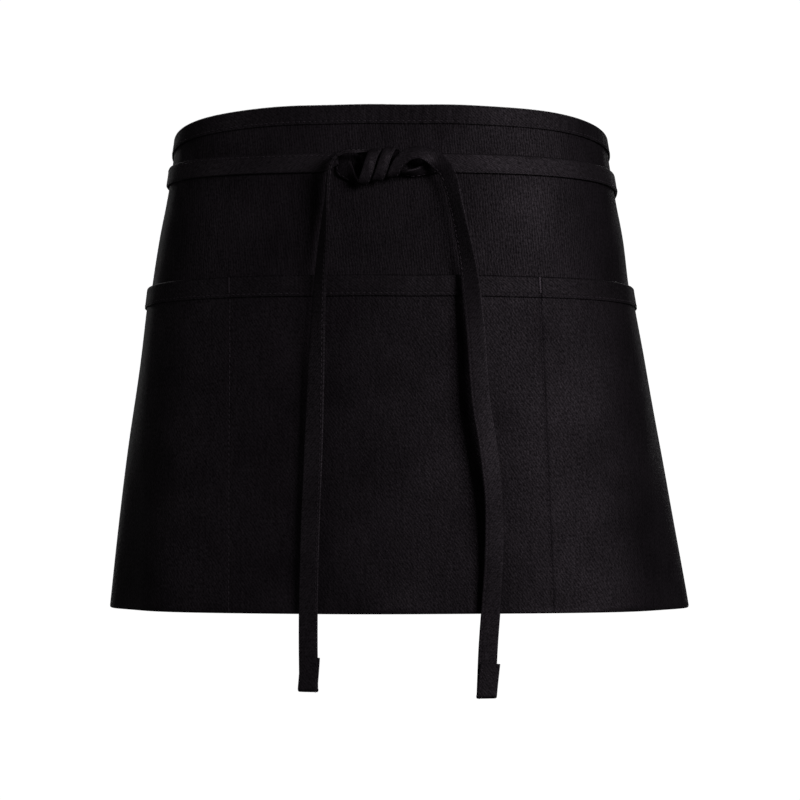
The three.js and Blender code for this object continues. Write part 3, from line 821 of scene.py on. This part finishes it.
def even_steps(points, step):
    """The same stations, spaced evenly along their middles, with the faces' turn softened."""
    along = lengths_along(points[:, :3])
    count = max(int(along[-1] / step), 2)
    at = np.linspace(0, along[-1], count + 1)
    spaced = columns_at(at, along, points)
    reach = max(int(2.5 / step), 1)
    kernel = np.hanning(2 * reach + 3)[1:-1]
    kernel = kernel / kernel.sum()
    for k in range(3, 7):
        padded = np.pad(spaced[:, k], reach, mode="edge")
        spaced[:, k] = np.convolve(padded, kernel, mode="valid")
    return spaced


def folded_tip(last):
    """The end of a tail, folded up on its front: half a circle, then a straight piece whose
    loose edge stands off by the square of its share."""
    front = unit(np.array([last[3], last[4], 0.0]))
    down = np.array([0.0, 0.0, -1.0])
    radius = TAPE_HALF + TIP_FOLD_OPEN / 2
    angle = np.linspace(0, np.pi, TIP_STEPS + 1)[1:, None]
    away = -front * np.cos(angle) + down * np.sin(angle)
    turned = last[:3] + front * radius + away * radius
    rise = np.linspace(0, 1, TIP_STEPS + 1)[1:, None]
    aside = np.array([-front[1], front[0], 0.0])
    tab = turned[-1] - down * rise * TIP_FOLD + front * 1.1 * rise**2 + aside * 1.8 * rise
    middles = np.concatenate([turned, tab])
    slope = unit(front + down * 0.1 * rise)
    faces = np.concatenate([-away, -slope])
    widths = np.full((len(middles), 1), TIE_WIDTH + 0.5)
    return np.concatenate([middles, faces, widths], axis=1)


def tape_rings(points, section):
    """The section carried along a tape: across is the way forward crossed with the face. Where
    the tape is narrow it is bunched, so that it bulges along its middle and wrinkles."""
    way = unit(np.gradient(points[:, :3], axis=0))
    across = unit(np.cross(way, points[:, 3:6]))
    face = unit(np.cross(across, way))
    share = section[:, 0] / (TIE_WIDTH / 2)
    wide = share * points[:, 6:7] / 2
    bunched = np.clip((TIE_WIDTH - points[:, 6:7]) / (TIE_WIDTH - KNOT_TAPE_WIDTH), 0, 1)
    along = np.arange(len(points))[:, None]
    wrinkle = 0.16 * np.sin(along / 3.1 + share * 3.5) * np.sin(along / 7.3 - share)
    deep = section[:, 1] + bunched * (0.35 * (np.cos(np.pi * share / 2) - 0.5) + wrinkle)
    return points[:, None, :3] + across[:, None] * wide[..., None] + face[:, None] * deep[..., None]


def bridge(rings, more, count=8):
    """Rings between two runs, on a cubic from the last ring of one to the first of the other."""
    start, end = rings[-1], more[0]
    reach = np.linalg.norm((end - start).mean(axis=0))
    leave = (rings[-1] - rings[-2]).mean(axis=0)
    land = (more[1] - more[0]).mean(axis=0)
    leave = unit(leave) * reach
    land = unit(land) * reach
    t = np.linspace(0, 1, count + 2)[1:-1, None, None]
    across = start * (1 + 2 * t) * (1 - t) ** 2 + end * (3 - 2 * t) * t**2
    return across + leave * t * (1 - t) ** 2 - land * t**2 * (1 - t)


def strand(side, sag, over, knot, tail):
    """A whole tie as rings, with the count of those before its tail, the tail's middle line
    down to its fold, and the tape's section."""
    half = TAPE_SECTION * [side, 1]
    section = np.concatenate([half, half[::-1] * [1, -1]])
    wrapped = wrap_rings(side, sag, over, section * [side, 1])
    hanging = smoothed(np.concatenate([knot, stations(tail)]), CURVE_STEPS)
    loop_end = knot[-1, :3]
    cut = np.argmin(np.linalg.norm(hanging[:, :3] - loop_end, axis=1))
    tied = even_steps(hanging[: cut + 1], KNOT_STEP)
    loose = even_steps(hanging[cut:], TAIL_STEP)
    points = np.concatenate([tied, loose[1:], folded_tip(loose[-1])])
    turned = tape_rings(points, section)
    joined = bridge(wrapped, turned)
    before = len(wrapped) + len(joined) + len(tied)
    rings = np.concatenate([wrapped, joined, turned])
    lowest = len(tied) + len(loose) + TIP_STEPS // 2 - 2
    path = np.concatenate([tied[-1:], loose[1:], points[lowest : lowest + 1]])[:, :3]
    return rings, before, path, section


def tape_object(name, rings, start, section, material):
    """A tape from its rings. Its UV map runs along the tape and across it, in millimetres."""
    along = start + lengths_along(rings.mean(axis=1))
    cloth_u = np.broadcast_to(along[:, None], rings.shape[:2])
    cloth_v = np.broadcast_to(section[:, 0], rings.shape[:2])
    return lofted(name, rings, cloth_u, cloth_v, material)


# Stitches


def thread_stitches(name, places, ways, ups, material, length=None, width=None, height=None):
    """Stitches as one mesh: each is a six-sided rod of four rings, thin and sunk at its ends and
    raised between them. places, ways and ups, (n, 3), are its middle, its way and its outside."""
    sizes = bpy.context.scene.apron_sizes
    length = sizes.stitch_length / MM if length is None else length
    width = sizes.thread_width / MM if width is None else width
    height = width * 0.55 if height is None else height
    along = np.array([-0.5, -0.3, 0.3, 0.5]) * length
    thick = np.array([0.45, 1.0, 1.0, 0.45])
    lift = np.array([-0.9, 0.45, 0.45, -0.9]) * height
    turn = np.arange(6) * np.pi / 3
    ways = unit(ways)
    sides = unit(np.cross(ups, ways))
    ups = unit(np.cross(ways, sides))
    across = np.cos(turn) * width / 2
    rise = np.sin(turn) * height
    a = np.broadcast_to(along[:, None], (4, 6))
    b = thick[:, None] * across
    c = lift[:, None] + thick[:, None] * rise
    local = np.stack([a, b, c], -1).reshape(-1, 3)
    corners = places[:, None] + local[:, 0:1] * ways[:, None]
    corners = corners + local[:, 1:2] * sides[:, None] + local[:, 2:3] * ups[:, None]
    caps = np.array([[0, 5, 4, 1], [1, 4, 3, 2], [18, 19, 22, 23], [19, 20, 21, 22]])
    faces = np.concatenate([ring_quads(4, 6), caps])
    if enclosed_volume(local, faces) < 0:
        faces = faces[:, ::-1]
    faces = (faces[None] + np.arange(len(places))[:, None, None] * len(local)).reshape(-1, 4)
    return mesh_object(name, corners.reshape(-1, 3), faces, material)


def cloth_stitches(name, arc, drop, face, level, material, inside=False, **sizes):
    """Stitches along the cloth. arc and drop are their middles, face(arc, drop) gives the out of
    the cloth there, and level is true for rows that run along the arc, false for upright ones."""
    rng = np.random.default_rng(7)
    arc = arc + rng.normal(0, 0.05, len(arc))
    drop = drop + rng.normal(0, 0.04, len(drop))
    out = face(arc, drop)
    here = skin(arc, drop, out)
    right = skin(arc + 0.5, drop, face(arc + 0.5, drop)) - skin(arc - 0.5, drop, face(arc - 0.5, drop))
    below = skin(arc, drop + 0.5, face(arc, drop + 0.5)) - skin(arc, drop - 0.5, face(arc, drop - 0.5))
    ups = np.cross(below, right)
    if inside:
        ups = -ups
    slant = rng.normal(0.06, 0.03, (len(arc), 1))
    ways = unit(right) + slant * unit(below) if level else unit(below) + slant * unit(right)
    return thread_stitches(name, here, ways, ups, material, **sizes)


def tape_stitches(name, rings, corner, material):
    """Stitches along one corner of a tape's section, on the side that this corner looks to."""
    sizes = bpy.context.scene.apron_sizes
    line = rings[:, corner]
    along = lengths_along(line)
    at = np.arange(1.5, along[-1] - 1.5, sizes.stitch_pitch / MM)
    across = rings[:, corner + 1] - rings[:, corner - 1]
    way = np.gradient(line, axis=0)
    middle = rings.mean(axis=1)
    up = np.cross(way, across)
    up = up * np.sign(np.sum(up * (line - middle), axis=1, keepdims=True))
    found = columns_at(at, along, np.concatenate([line, way, up], axis=1))
    return thread_stitches(name, found[:, :3], found[:, 3:6], found[:, 6:], material)


# Materials


class Nodes:
    """A material's node tree, built by name."""

    def __init__(self, name):
        self.material = bpy.data.materials.new(name)
        self.material.use_nodes = True
        self.tree = self.material.node_tree
        self.tree.nodes.clear()

    def add(self, kind, inputs=None, **settings):
        """A node with its settings, and inputs given as values or as other nodes' sockets."""
        node = self.tree.nodes.new(kind)
        for key, value in settings.items():
            setattr(node, key, value)
        for key, value in (inputs or {}).items():
            if isinstance(value, bpy.types.NodeSocket):
                self.tree.links.new(value, node.inputs[key])
            else:
                node.inputs[key].default_value = value
        return node

    def noise(self, vector, scale, detail=2.0, output="Fac", **inputs):
        """A noise texture's value or colour."""
        inputs.update({"Vector": vector, "Scale": scale, "Detail": detail})
        return self.add("ShaderNodeTexNoise", inputs).outputs[output]

    def stretched(self, vector, share):
        """A vector whose second direction is drawn out, so that what it carries grows longer."""
        return self.add("ShaderNodeMapping", {"Vector": vector, "Scale": (1.0, share, 1.0)}).outputs[0]

    def ranged(self, value, low, high, to_low, to_high):
        """A value from low to high, carried to the range from to_low to to_high."""
        inputs = {"Value": value, "From Min": low, "From Max": high, "To Min": to_low, "To Max": to_high}
        return self.add("ShaderNodeMapRange", inputs).outputs[0]

    def worked(self, operation, *values):
        """The result of an operation on numbers."""
        return self.add("ShaderNodeMath", dict(enumerate(values)), operation=operation).outputs[0]

    def scaled(self, vector, factor):
        """A vector or colour times a number."""
        return self.add("ShaderNodeVectorMath", {0: vector, "Scale": factor}, operation="SCALE").outputs[0]

    def raised(self, height, strength, distance):
        """The normal of a surface with a height."""
        inputs = {"Height": height, "Strength": strength, "Distance": distance}
        return self.add("ShaderNodeBump", inputs).outputs[0]

    def shaded(self, **inputs):
        """The finished material: a principled shader with these inputs, spaces for underscores."""
        named = {key.replace("_", " "): value for key, value in inputs.items()}
        shader = self.add("ShaderNodeBsdfPrincipled", named)
        output = self.add("ShaderNodeOutputMaterial")
        self.tree.links.new(shader.outputs[0], output.inputs["Surface"])
        return self.material


def cloth_material(name, colour, rib, angle, bump, gloss, weight=0.15):
    """Twill: uneven ribs at an angle to the cloth's length, broken up by streaky yarns that run
    down it, with a nap, and soft patches that are partly uneven dyeing and partly painted light
    and shade. Ribs and yarns raise the surface; painted shade darkens its hollows and painted
    light brightens its tops, in colour and in gloss. The UV map's first direction is the weft,
    and its second the warp."""
    n = Nodes(name)
    uv = n.add("ShaderNodeUVMap", uv_map="Cloth").outputs["UV"]
    wander = n.scaled(n.noise(uv, 240.0, output="Color"), rib * 1.4)
    bent = n.add("ShaderNodeVectorMath", {0: uv, 1: wander}, operation="ADD").outputs[0]
    turned = n.add("ShaderNodeMapping", {"Vector": bent, "Rotation": (0, 0, math.radians(angle))})
    waves = {"Vector": turned.outputs[0], "Scale": WAVE_PERIOD / rib, "Distortion": 2.5}
    waves.update({"Detail": 3.0, "Detail Scale": 1.2})
    ribs = n.add("ShaderNodeTexWave", waves, wave_type="BANDS", bands_direction="X").outputs["Fac"]
    yarns = n.noise(n.stretched(uv, 0.7), 800.0, 2.5, Roughness=0.65)
    streaks = n.noise(n.stretched(uv, 0.12), 520.0)
    # Soft patches in the colour: partly uneven dyeing and partly painted light and shade.
    dye_and_light_patches = n.noise(uv, 26.0, 4.0)
    nap = n.noise(uv, 1500.0)
    height = n.worked("MULTIPLY_ADD", ribs, weight, yarns)
    height = n.worked("MULTIPLY_ADD", nap, 0.4, height)
    # Painted shade and light: the colour darkens in the weave's hollows and lightens on its tops.
    tone_and_painted_shade = n.worked("MULTIPLY", n.ranged(height, 0.55, 1.0, 0.5, 1.5), n.ranged(dye_and_light_patches, 0.3, 0.7, 0.76, 1.2))
    tone_and_painted_shade = n.worked("MULTIPLY", tone_and_painted_shade, n.ranged(streaks, 0.3, 0.7, 0.85, 1.15))
    return n.shaded(
        Base_Color=n.scaled(tuple(colour)[:3], tone_and_painted_shade),
        Roughness=n.ranged(height, 0.5, 1.05, 0.68, 0.52),
        # The gloss carries the same painted shade and light as the colour.
        Specular_IOR_Level=n.worked("MULTIPLY", tone_and_painted_shade, gloss),
        Specular_Tint=(1.0, 0.84, 0.98, 1.0),
        Normal=n.raised(height, 1.0, bump),
    )


def thread_material(name, colour, roughness):
    """Sewing thread: fine uneven twists on a slightly shinier yarn."""
    n = Nodes(name)
    twist = n.noise(n.add("ShaderNodeTexCoord").outputs["Object"], 2400.0)
    return n.shaded(
        Base_Color=n.scaled(tuple(colour)[:3], n.ranged(twist, 0.3, 0.7, 0.7, 1.3)),
        Roughness=roughness,
        Specular_IOR_Level=0.24,
        Specular_Tint=(1.0, 0.8, 0.98, 1.0),
        Normal=n.raised(twist, 0.6, 0.0002),
    )


def finish(kind):
    """The material of a kind of cloth or thread, made once."""
    if kind in bpy.data.materials:
        return bpy.data.materials[kind]
    sizes = bpy.context.scene.apron_sizes
    colours = bpy.context.scene.apron_colours
    rib = sizes.twill_rib
    fine_rib = rib * 0.9
    # Painted light: the ties and tails wear a copy of the binding's cloth, 1.4 times lighter and glossier,
    # for the light that they catch.
    tape = tuple(1.4 * part for part in colours.binding)
    cloths = {
        "Twill_Cloth": (colours.twill, rib, 35, 0.0002, 0.105),
        "Ribbed_Twill": (colours.twill, rib, 6, 0.00017, 0.085, 0.22),
        "Binding_Cloth": (colours.binding, fine_rib, 52, 0.00018, 0.105),
        "Tape_Cloth_Painted_Light": (tape, fine_rib, 52, 0.00018, 0.14),
    }
    # The bar tack's thread is a lighter, shinier copy of the sewing thread: a painted highlight.
    threads = {"Tack_Thread_Painted_Highlight": (colours.tack_highlight, 0.45), "Sewing_Thread": (colours.thread, 0.6)}
    if kind in cloths:
        return cloth_material(kind, *cloths[kind])
    return thread_material(kind, *threads[kind])


def placed(piece, slot, *replaced):
    """A finished piece rides on the root and hides the CAD parts that it replaces. Its slot is not used."""
    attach(piece, "root")
    if replaced:
        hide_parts(*replaced)
    return piece


# Settings


def length_setting(name, description, default):
    """A length in metres."""
    return bpy.props.FloatProperty(
        name=name,
        description=description,
        default=default,
        unit="LENGTH",
        precision=5,
    )


def colour_setting(name, description, default):
    """A linear colour."""
    return bpy.props.FloatVectorProperty(
        name=name,
        description=description,
        default=default,
        subtype="COLOR",
        size=3,
        min=0,
        max=1,
    )


class ApronSizes(bpy.types.PropertyGroup):
    """Sizes of the weave, the stitches and the cloth's unevenness, in metres"""

    twill_rib: length_setting("Twill rib", "Distance between the ribs of the weave", 0.0016)
    stitch_pitch: length_setting("Stitch pitch", "Distance from stitch to stitch", 0.0033)
    stitch_length: length_setting("Stitch length", "Length of thread that shows in each stitch", 0.0027)
    thread_width: length_setting("Thread width", "Width of the sewing thread", 0.0005)
    pucker_height: length_setting("Pucker height", "Height of the puckers under the waistband", 0.00025)
    wave_height: length_setting("Wave height", "Height of the long shallow waves in the cloth", 0.00035)


class ApronColours(bpy.types.PropertyGroup):
    """Colours of the cloths, the threads and the floor"""

    twill: colour_setting("Twill", "Colour of the body and the pocket", (0.0036, 0.0028, 0.0036))
    # The ties and tails show this colour 1.4 times lighter, as painted light.
    binding: colour_setting("Binding", "Colour of the bands and the ties", (0.0034, 0.0027, 0.0034))
    thread: colour_setting("Thread", "Colour of the stitches", (0.008, 0.0066, 0.008))
    # A painted highlight: only the right bar tack wears this colour, lighter than the sewing thread of the
    # left one.
    tack_highlight: colour_setting("Bar tacks", "Colour of the bar tacks", (0.012, 0.0103, 0.012))
    floor: colour_setting("Floor", "Colour of the floor", (0.9, 0.9, 0.9))


# Operators


class APRON_OT_camera(bpy.types.Operator):
    """Place the camera in front of the apron, level with its middle"""

    bl_idname = "apron.camera"
    bl_label = "Camera"

    def execute(self, context):
        data = bpy.data.cameras.new("Camera")
        data.lens = CAMERA_LENS
        data.sensor_width = CAMERA_FILM
        camera = bpy.data.objects.new("Camera", data)
        camera.location = CAMERA_PLACE
        camera.rotation_euler = (math.radians(90), 0, 0)
        context.scene.collection.objects.link(camera)
        context.scene.camera = camera
        return {"FINISHED"}


def make_tie(tie_side, tail_side, sag, over, knot, tail_rows):
    """One tie, its tail and their stitches. Each is named
    by its own side: the ties cross in the knot, so a tail hangs on the other side."""
    # The ties and tails take the lighter copy of the binding's cloth: painted light.
    cloth = finish("Tape_Cloth_Painted_Light")
    thread = finish("Sewing_Thread")
    side = -1 if tie_side == "Left" else 1
    rings, before, path, section = strand(side, sag, over, knot, tail_rows)
    corners = ((1, TAPE_DIP), (2, len(section) - 1 - TAPE_DIP))
    tie = tape_object("Tie_" + tie_side, rings[:before], 0, section, cloth)
    placed(tie, "binding", "tie_" + tie_side.lower())
    tail = tape_object("Tail_" + tail_side, rings[before - 1 :], TAIL_CLOTH_START, section, cloth)
    placed(tail, "binding", "tail_" + tail_side.lower())
    for number, corner in corners:
        name = "Tie_%s_Stitches_%d" % (tie_side, number)
        placed(tape_stitches(name, rings[:before], corner, thread), "binding")
    for number, corner in corners:
        name = "Tail_%s_Stitches_%d" % (tail_side, number)
        placed(tape_stitches(name, rings[before - 1 :], corner, thread), "binding")
    route = path[:: max(len(path) // 30, 1)]
    if np.linalg.norm(route[-1] - path[-1]) > 0.5:
        route = np.concatenate([route, path[-1:]])


class APRON_OT_tie_left(bpy.types.Operator):
    """Build the tie that comes round the left, its half of the knot and the right tail"""

    bl_idname = "apron.tie_left"
    bl_label = "Left Tie and Right Tail"

    def execute(self, context):
        knot = np.concatenate([entry(ENTRY_LEFT), coil(-0.5, KNOT_LEAVE), loop(LOOP_RIGHT)])
        make_tie("Left", "Right", TIE_SAG_LEFT, 2 * TAPE_HALF + 2 * TIE_GAP, knot, TAIL_RIGHT)
        return {"FINISHED"}


class APRON_OT_tie_right(bpy.types.Operator):
    """Build the tie that comes round the right, its half of the knot and the left tail"""

    bl_idname = "apron.tie_right"
    bl_label = "Right Tie and Left Tail"

    def execute(self, context):
        knot = np.concatenate([entry(ENTRY_RIGHT), coil(0.5, 1)[::-1], loop(LOOP_LEFT)])
        make_tie("Right", "Left", TIE_SAG_RIGHT, 0.0, knot, TAIL_LEFT)
        return {"FINISHED"}


def stitch_steps(first, last):
    """Places from first to last, one stitch apart."""
    return np.arange(first, last, bpy.context.scene.apron_sizes.stitch_pitch / MM)


def level_row(drop):
    """The arcs and drops of a row of stitches across the cloth's whole width."""
    arc = stitch_steps(-HALF_PANEL + 2, HALF_PANEL - 2)
    return arc, np.full(len(arc), drop)


def even_face(out):
    """A face that lies at the same out distance everywhere."""

    def face(arc, drop):
        return np.full(len(arc), out)

    return face


class APRON_OT_body_panel(bpy.types.Operator):
    """Build the body panel, with its side hems and their stitches"""

    bl_idname = "apron.body_panel"
    bl_label = "Body Panel"

    def execute(self, context):
        body = placed(build_body_panel(finish("Ribbed_Twill")), "twill", "body_panel")
        drop = stitch_steps(15, 101)
        side = np.full(len(drop), HALF_PANEL - HEM_STITCHES)
        arc = np.concatenate([-side, side])
        drop = np.tile(drop, 2)
        thread = finish("Sewing_Thread")
        hems = placed(cloth_stitches("Body_Hem_Stitches", arc, drop, body_face, False, thread), "twill")
        return {"FINISHED"}


class APRON_OT_pocket_panel(bpy.types.Operator):
    """Build the pocket panel, with its upright seams and side hems"""

    bl_idname = "apron.pocket_panel"
    bl_label = "Pocket Panel"

    def execute(self, context):
        pocket = placed(build_pocket_panel(finish("Twill_Cloth")), "twill", "pocket_panel")
        drop = stitch_steps(POCKET_BAND_FOOT + 2, 302)
        left, right = division_arcs(drop)
        side = np.full(len(drop), HALF_PANEL - HEM_STITCHES)
        arc = np.concatenate([left, right, -side, side])
        drop = np.tile(drop, 4)
        thread = finish("Sewing_Thread")
        rows = placed(cloth_stitches("Pocket_Stitches", arc, drop, pocket_face, False, thread), "twill")
        return {"FINISHED"}


class APRON_OT_waistband(bpy.types.Operator):
    """Build the waistband and the row of stitches along its lower edge, on both sides"""

    bl_idname = "apron.waistband"
    bl_label = "Waistband"

    def execute(self, context):
        placed(build_waistband(finish("Binding_Cloth")), "binding", "waistband")
        thread = finish("Sewing_Thread")
        arc, drop = level_row(WAISTBAND_HEIGHT - BAND_STITCHES)
        for side, out in (("Out", 1.08), ("In", -2.08)):
            name = "Waistband_Stitches_" + side
            inside = side == "In"
            placed(cloth_stitches(name, arc, drop, even_face(out), True, thread, inside), "binding")
        return {"FINISHED"}


class APRON_OT_pocket_band(bpy.types.Operator):
    """Build the band on the pocket's mouth, its stitches and the two bar tacks across it"""

    bl_idname = "apron.pocket_band"
    bl_label = "Pocket Band"

    def execute(self, context):
        placed(build_pocket_band(finish("Binding_Cloth")), "binding", "pocket_band")
        thread = finish("Sewing_Thread")
        arc, drop = level_row(POCKET_BAND_FOOT - BAND_STITCHES)
        placed(cloth_stitches("Band_Stitches", arc, drop, band_face, True, thread), "binding")
        drop = np.arange(POCKET_MOUTH + 0.8, POCKET_BAND_FOOT - 2.6, 0.55)
        size = {"length": 1.7, "width": 0.62, "height": 0.4}
        # The right bar tack takes the lighter copy of the thread, a painted highlight; the left one takes the
        # sewing thread.
        for side, line, kind in zip(("Left", "Right"), division_arcs(drop), ("Sewing_Thread", "Tack_Thread_Painted_Highlight")):
            name = "Bar_Tack_" + side
            placed(cloth_stitches(name, line, drop, band_face, True, finish(kind), **size), "binding")
        return {"FINISHED"}


def area_light(name, azimuth, elevation, distance, size, energy):
    """An area light that looks at the apron's middle. Azimuth 0 is the front, 90 the right."""
    turn = math.radians(azimuth)
    lift = math.radians(elevation)
    way = np.array([math.sin(turn) * math.cos(lift), -math.cos(turn) * math.cos(lift), math.sin(lift)])
    data = bpy.data.lights.new(name, "AREA")
    data.shape = "RECTANGLE"
    data.size, data.size_y = size
    data.energy = energy
    light = bpy.data.objects.new(name, data)
    light.location = tuple(way * distance + [0, 0, LIGHT_AIM])
    light.rotation_euler = (math.radians(90 - elevation), 0, turn)
    bpy.context.scene.collection.objects.link(light)


def floor_disc(material):
    """The floor: a flat disc whose rim curves up on a quarter circle, then stands upright."""
    bend = np.linspace(0, np.pi / 2, 13)[1:]
    flat = np.linspace(0.02, FLOOR_RADIUS, 12)
    edge = FLOOR_RADIUS + FLOOR_RIM
    radius = np.concatenate([flat, FLOOR_RADIUS + FLOOR_RIM * np.sin(bend), [edge]])
    height = np.concatenate([np.zeros(12), FLOOR_RIM * (1 - np.cos(bend)), [FLOOR_RADIUS]]) - FLOOR_DEPTH
    turn = np.arange(FLOOR_SIDES) * 2 * np.pi / FLOOR_SIDES
    x = radius[:, None] * np.cos(turn)
    y = radius[:, None] * np.sin(turn)
    z = np.broadcast_to(height[:, None], x.shape)
    corners = np.stack([x, y, z], -1).reshape(-1, 3) / MM
    sides = ring_quads(len(radius), FLOOR_SIDES)[:, [0, 3, 2, 1]]
    half = np.arange(FLOOR_SIDES // 2 - 1)
    centre = np.stack([half, half + 1, FLOOR_SIDES - 2 - half, FLOOR_SIDES - 1 - half], -1)
    return mesh_object("Floor", corners, np.concatenate([sides, centre]), material)


class APRON_OT_stage(bpy.types.Operator):
    """Build the pale floor with its curved rim, and the soft lights"""

    bl_idname = "apron.stage"
    bl_label = "Stage"

    def execute(self, context):
        scene = context.scene
        scene.view_settings.view_transform = "Standard"
        scene.view_settings.look = "None"
        n = Nodes("Pale_Floor")
        grain = n.noise(n.add("ShaderNodeTexCoord").outputs["Object"], 3.0)
        material = n.shaded(
            Base_Color=n.ranged(grain, 0.0, 1.0, 0.78, 0.82),
            Roughness=0.9,
            Emission_Color=tuple(scene.apron_colours.floor) + (1.0,),
            Emission_Strength=1.05,
        )
        floor = floor_disc(material)
        floor.visible_diffuse = False
        floor.visible_glossy = False
        for light in LIGHTS:
            area_light(*light)
        world = bpy.data.worlds.new("Studio")
        world.use_nodes = True
        background = world.node_tree.nodes["Background"]
        background.inputs["Color"].default_value = (1, 1, 1, 1)
        background.inputs["Strength"].default_value = WORLD_STRENGTH
        scene.world = world
        return {"FINISHED"}


class APRON_PT_pieces(bpy.types.Panel):
    """Every setting, and a button for each piece"""

    bl_idname = "APRON_PT_pieces"
    bl_label = "Apron"
    bl_space_type = "VIEW_3D"
    bl_region_type = "UI"
    bl_category = "Apron"

    def draw(self, context):
        layout = self.layout
        for group in (context.scene.apron_sizes, context.scene.apron_colours):
            box = layout.box()
            for key in group.__annotations__:
                box.prop(group, key)
        for operator in OPERATORS:
            layout.operator(operator.bl_idname)


OPERATORS = (
    APRON_OT_camera,
    APRON_OT_tie_left,
    APRON_OT_tie_right,
    APRON_OT_waistband,
    APRON_OT_body_panel,
    APRON_OT_pocket_panel,
    APRON_OT_pocket_band,
    APRON_OT_stage,
)
CLASSES = (ApronSizes, ApronColours) + OPERATORS + (APRON_PT_pieces,)


def register():
    for cls in CLASSES:
        bpy.utils.register_class(cls)
    bpy.types.Scene.apron_sizes = bpy.props.PointerProperty(type=ApronSizes)
    bpy.types.Scene.apron_colours = bpy.props.PointerProperty(type=ApronColours)


def unregister():
    del bpy.types.Scene.apron_colours
    del bpy.types.Scene.apron_sizes
    for cls in reversed(CLASSES):
        bpy.utils.unregister_class(cls)


def main():
    """Builds every piece in order."""
    register()
    bpy.ops.apron.camera()
    bpy.ops.apron.tie_left()
    bpy.ops.apron.tie_right()
    bpy.ops.apron.waistband()
    bpy.ops.apron.body_panel()
    bpy.ops.apron.pocket_panel()
    bpy.ops.apron.pocket_band()
    bpy.ops.apron.stage()


if __name__ == "__main__":
    main()
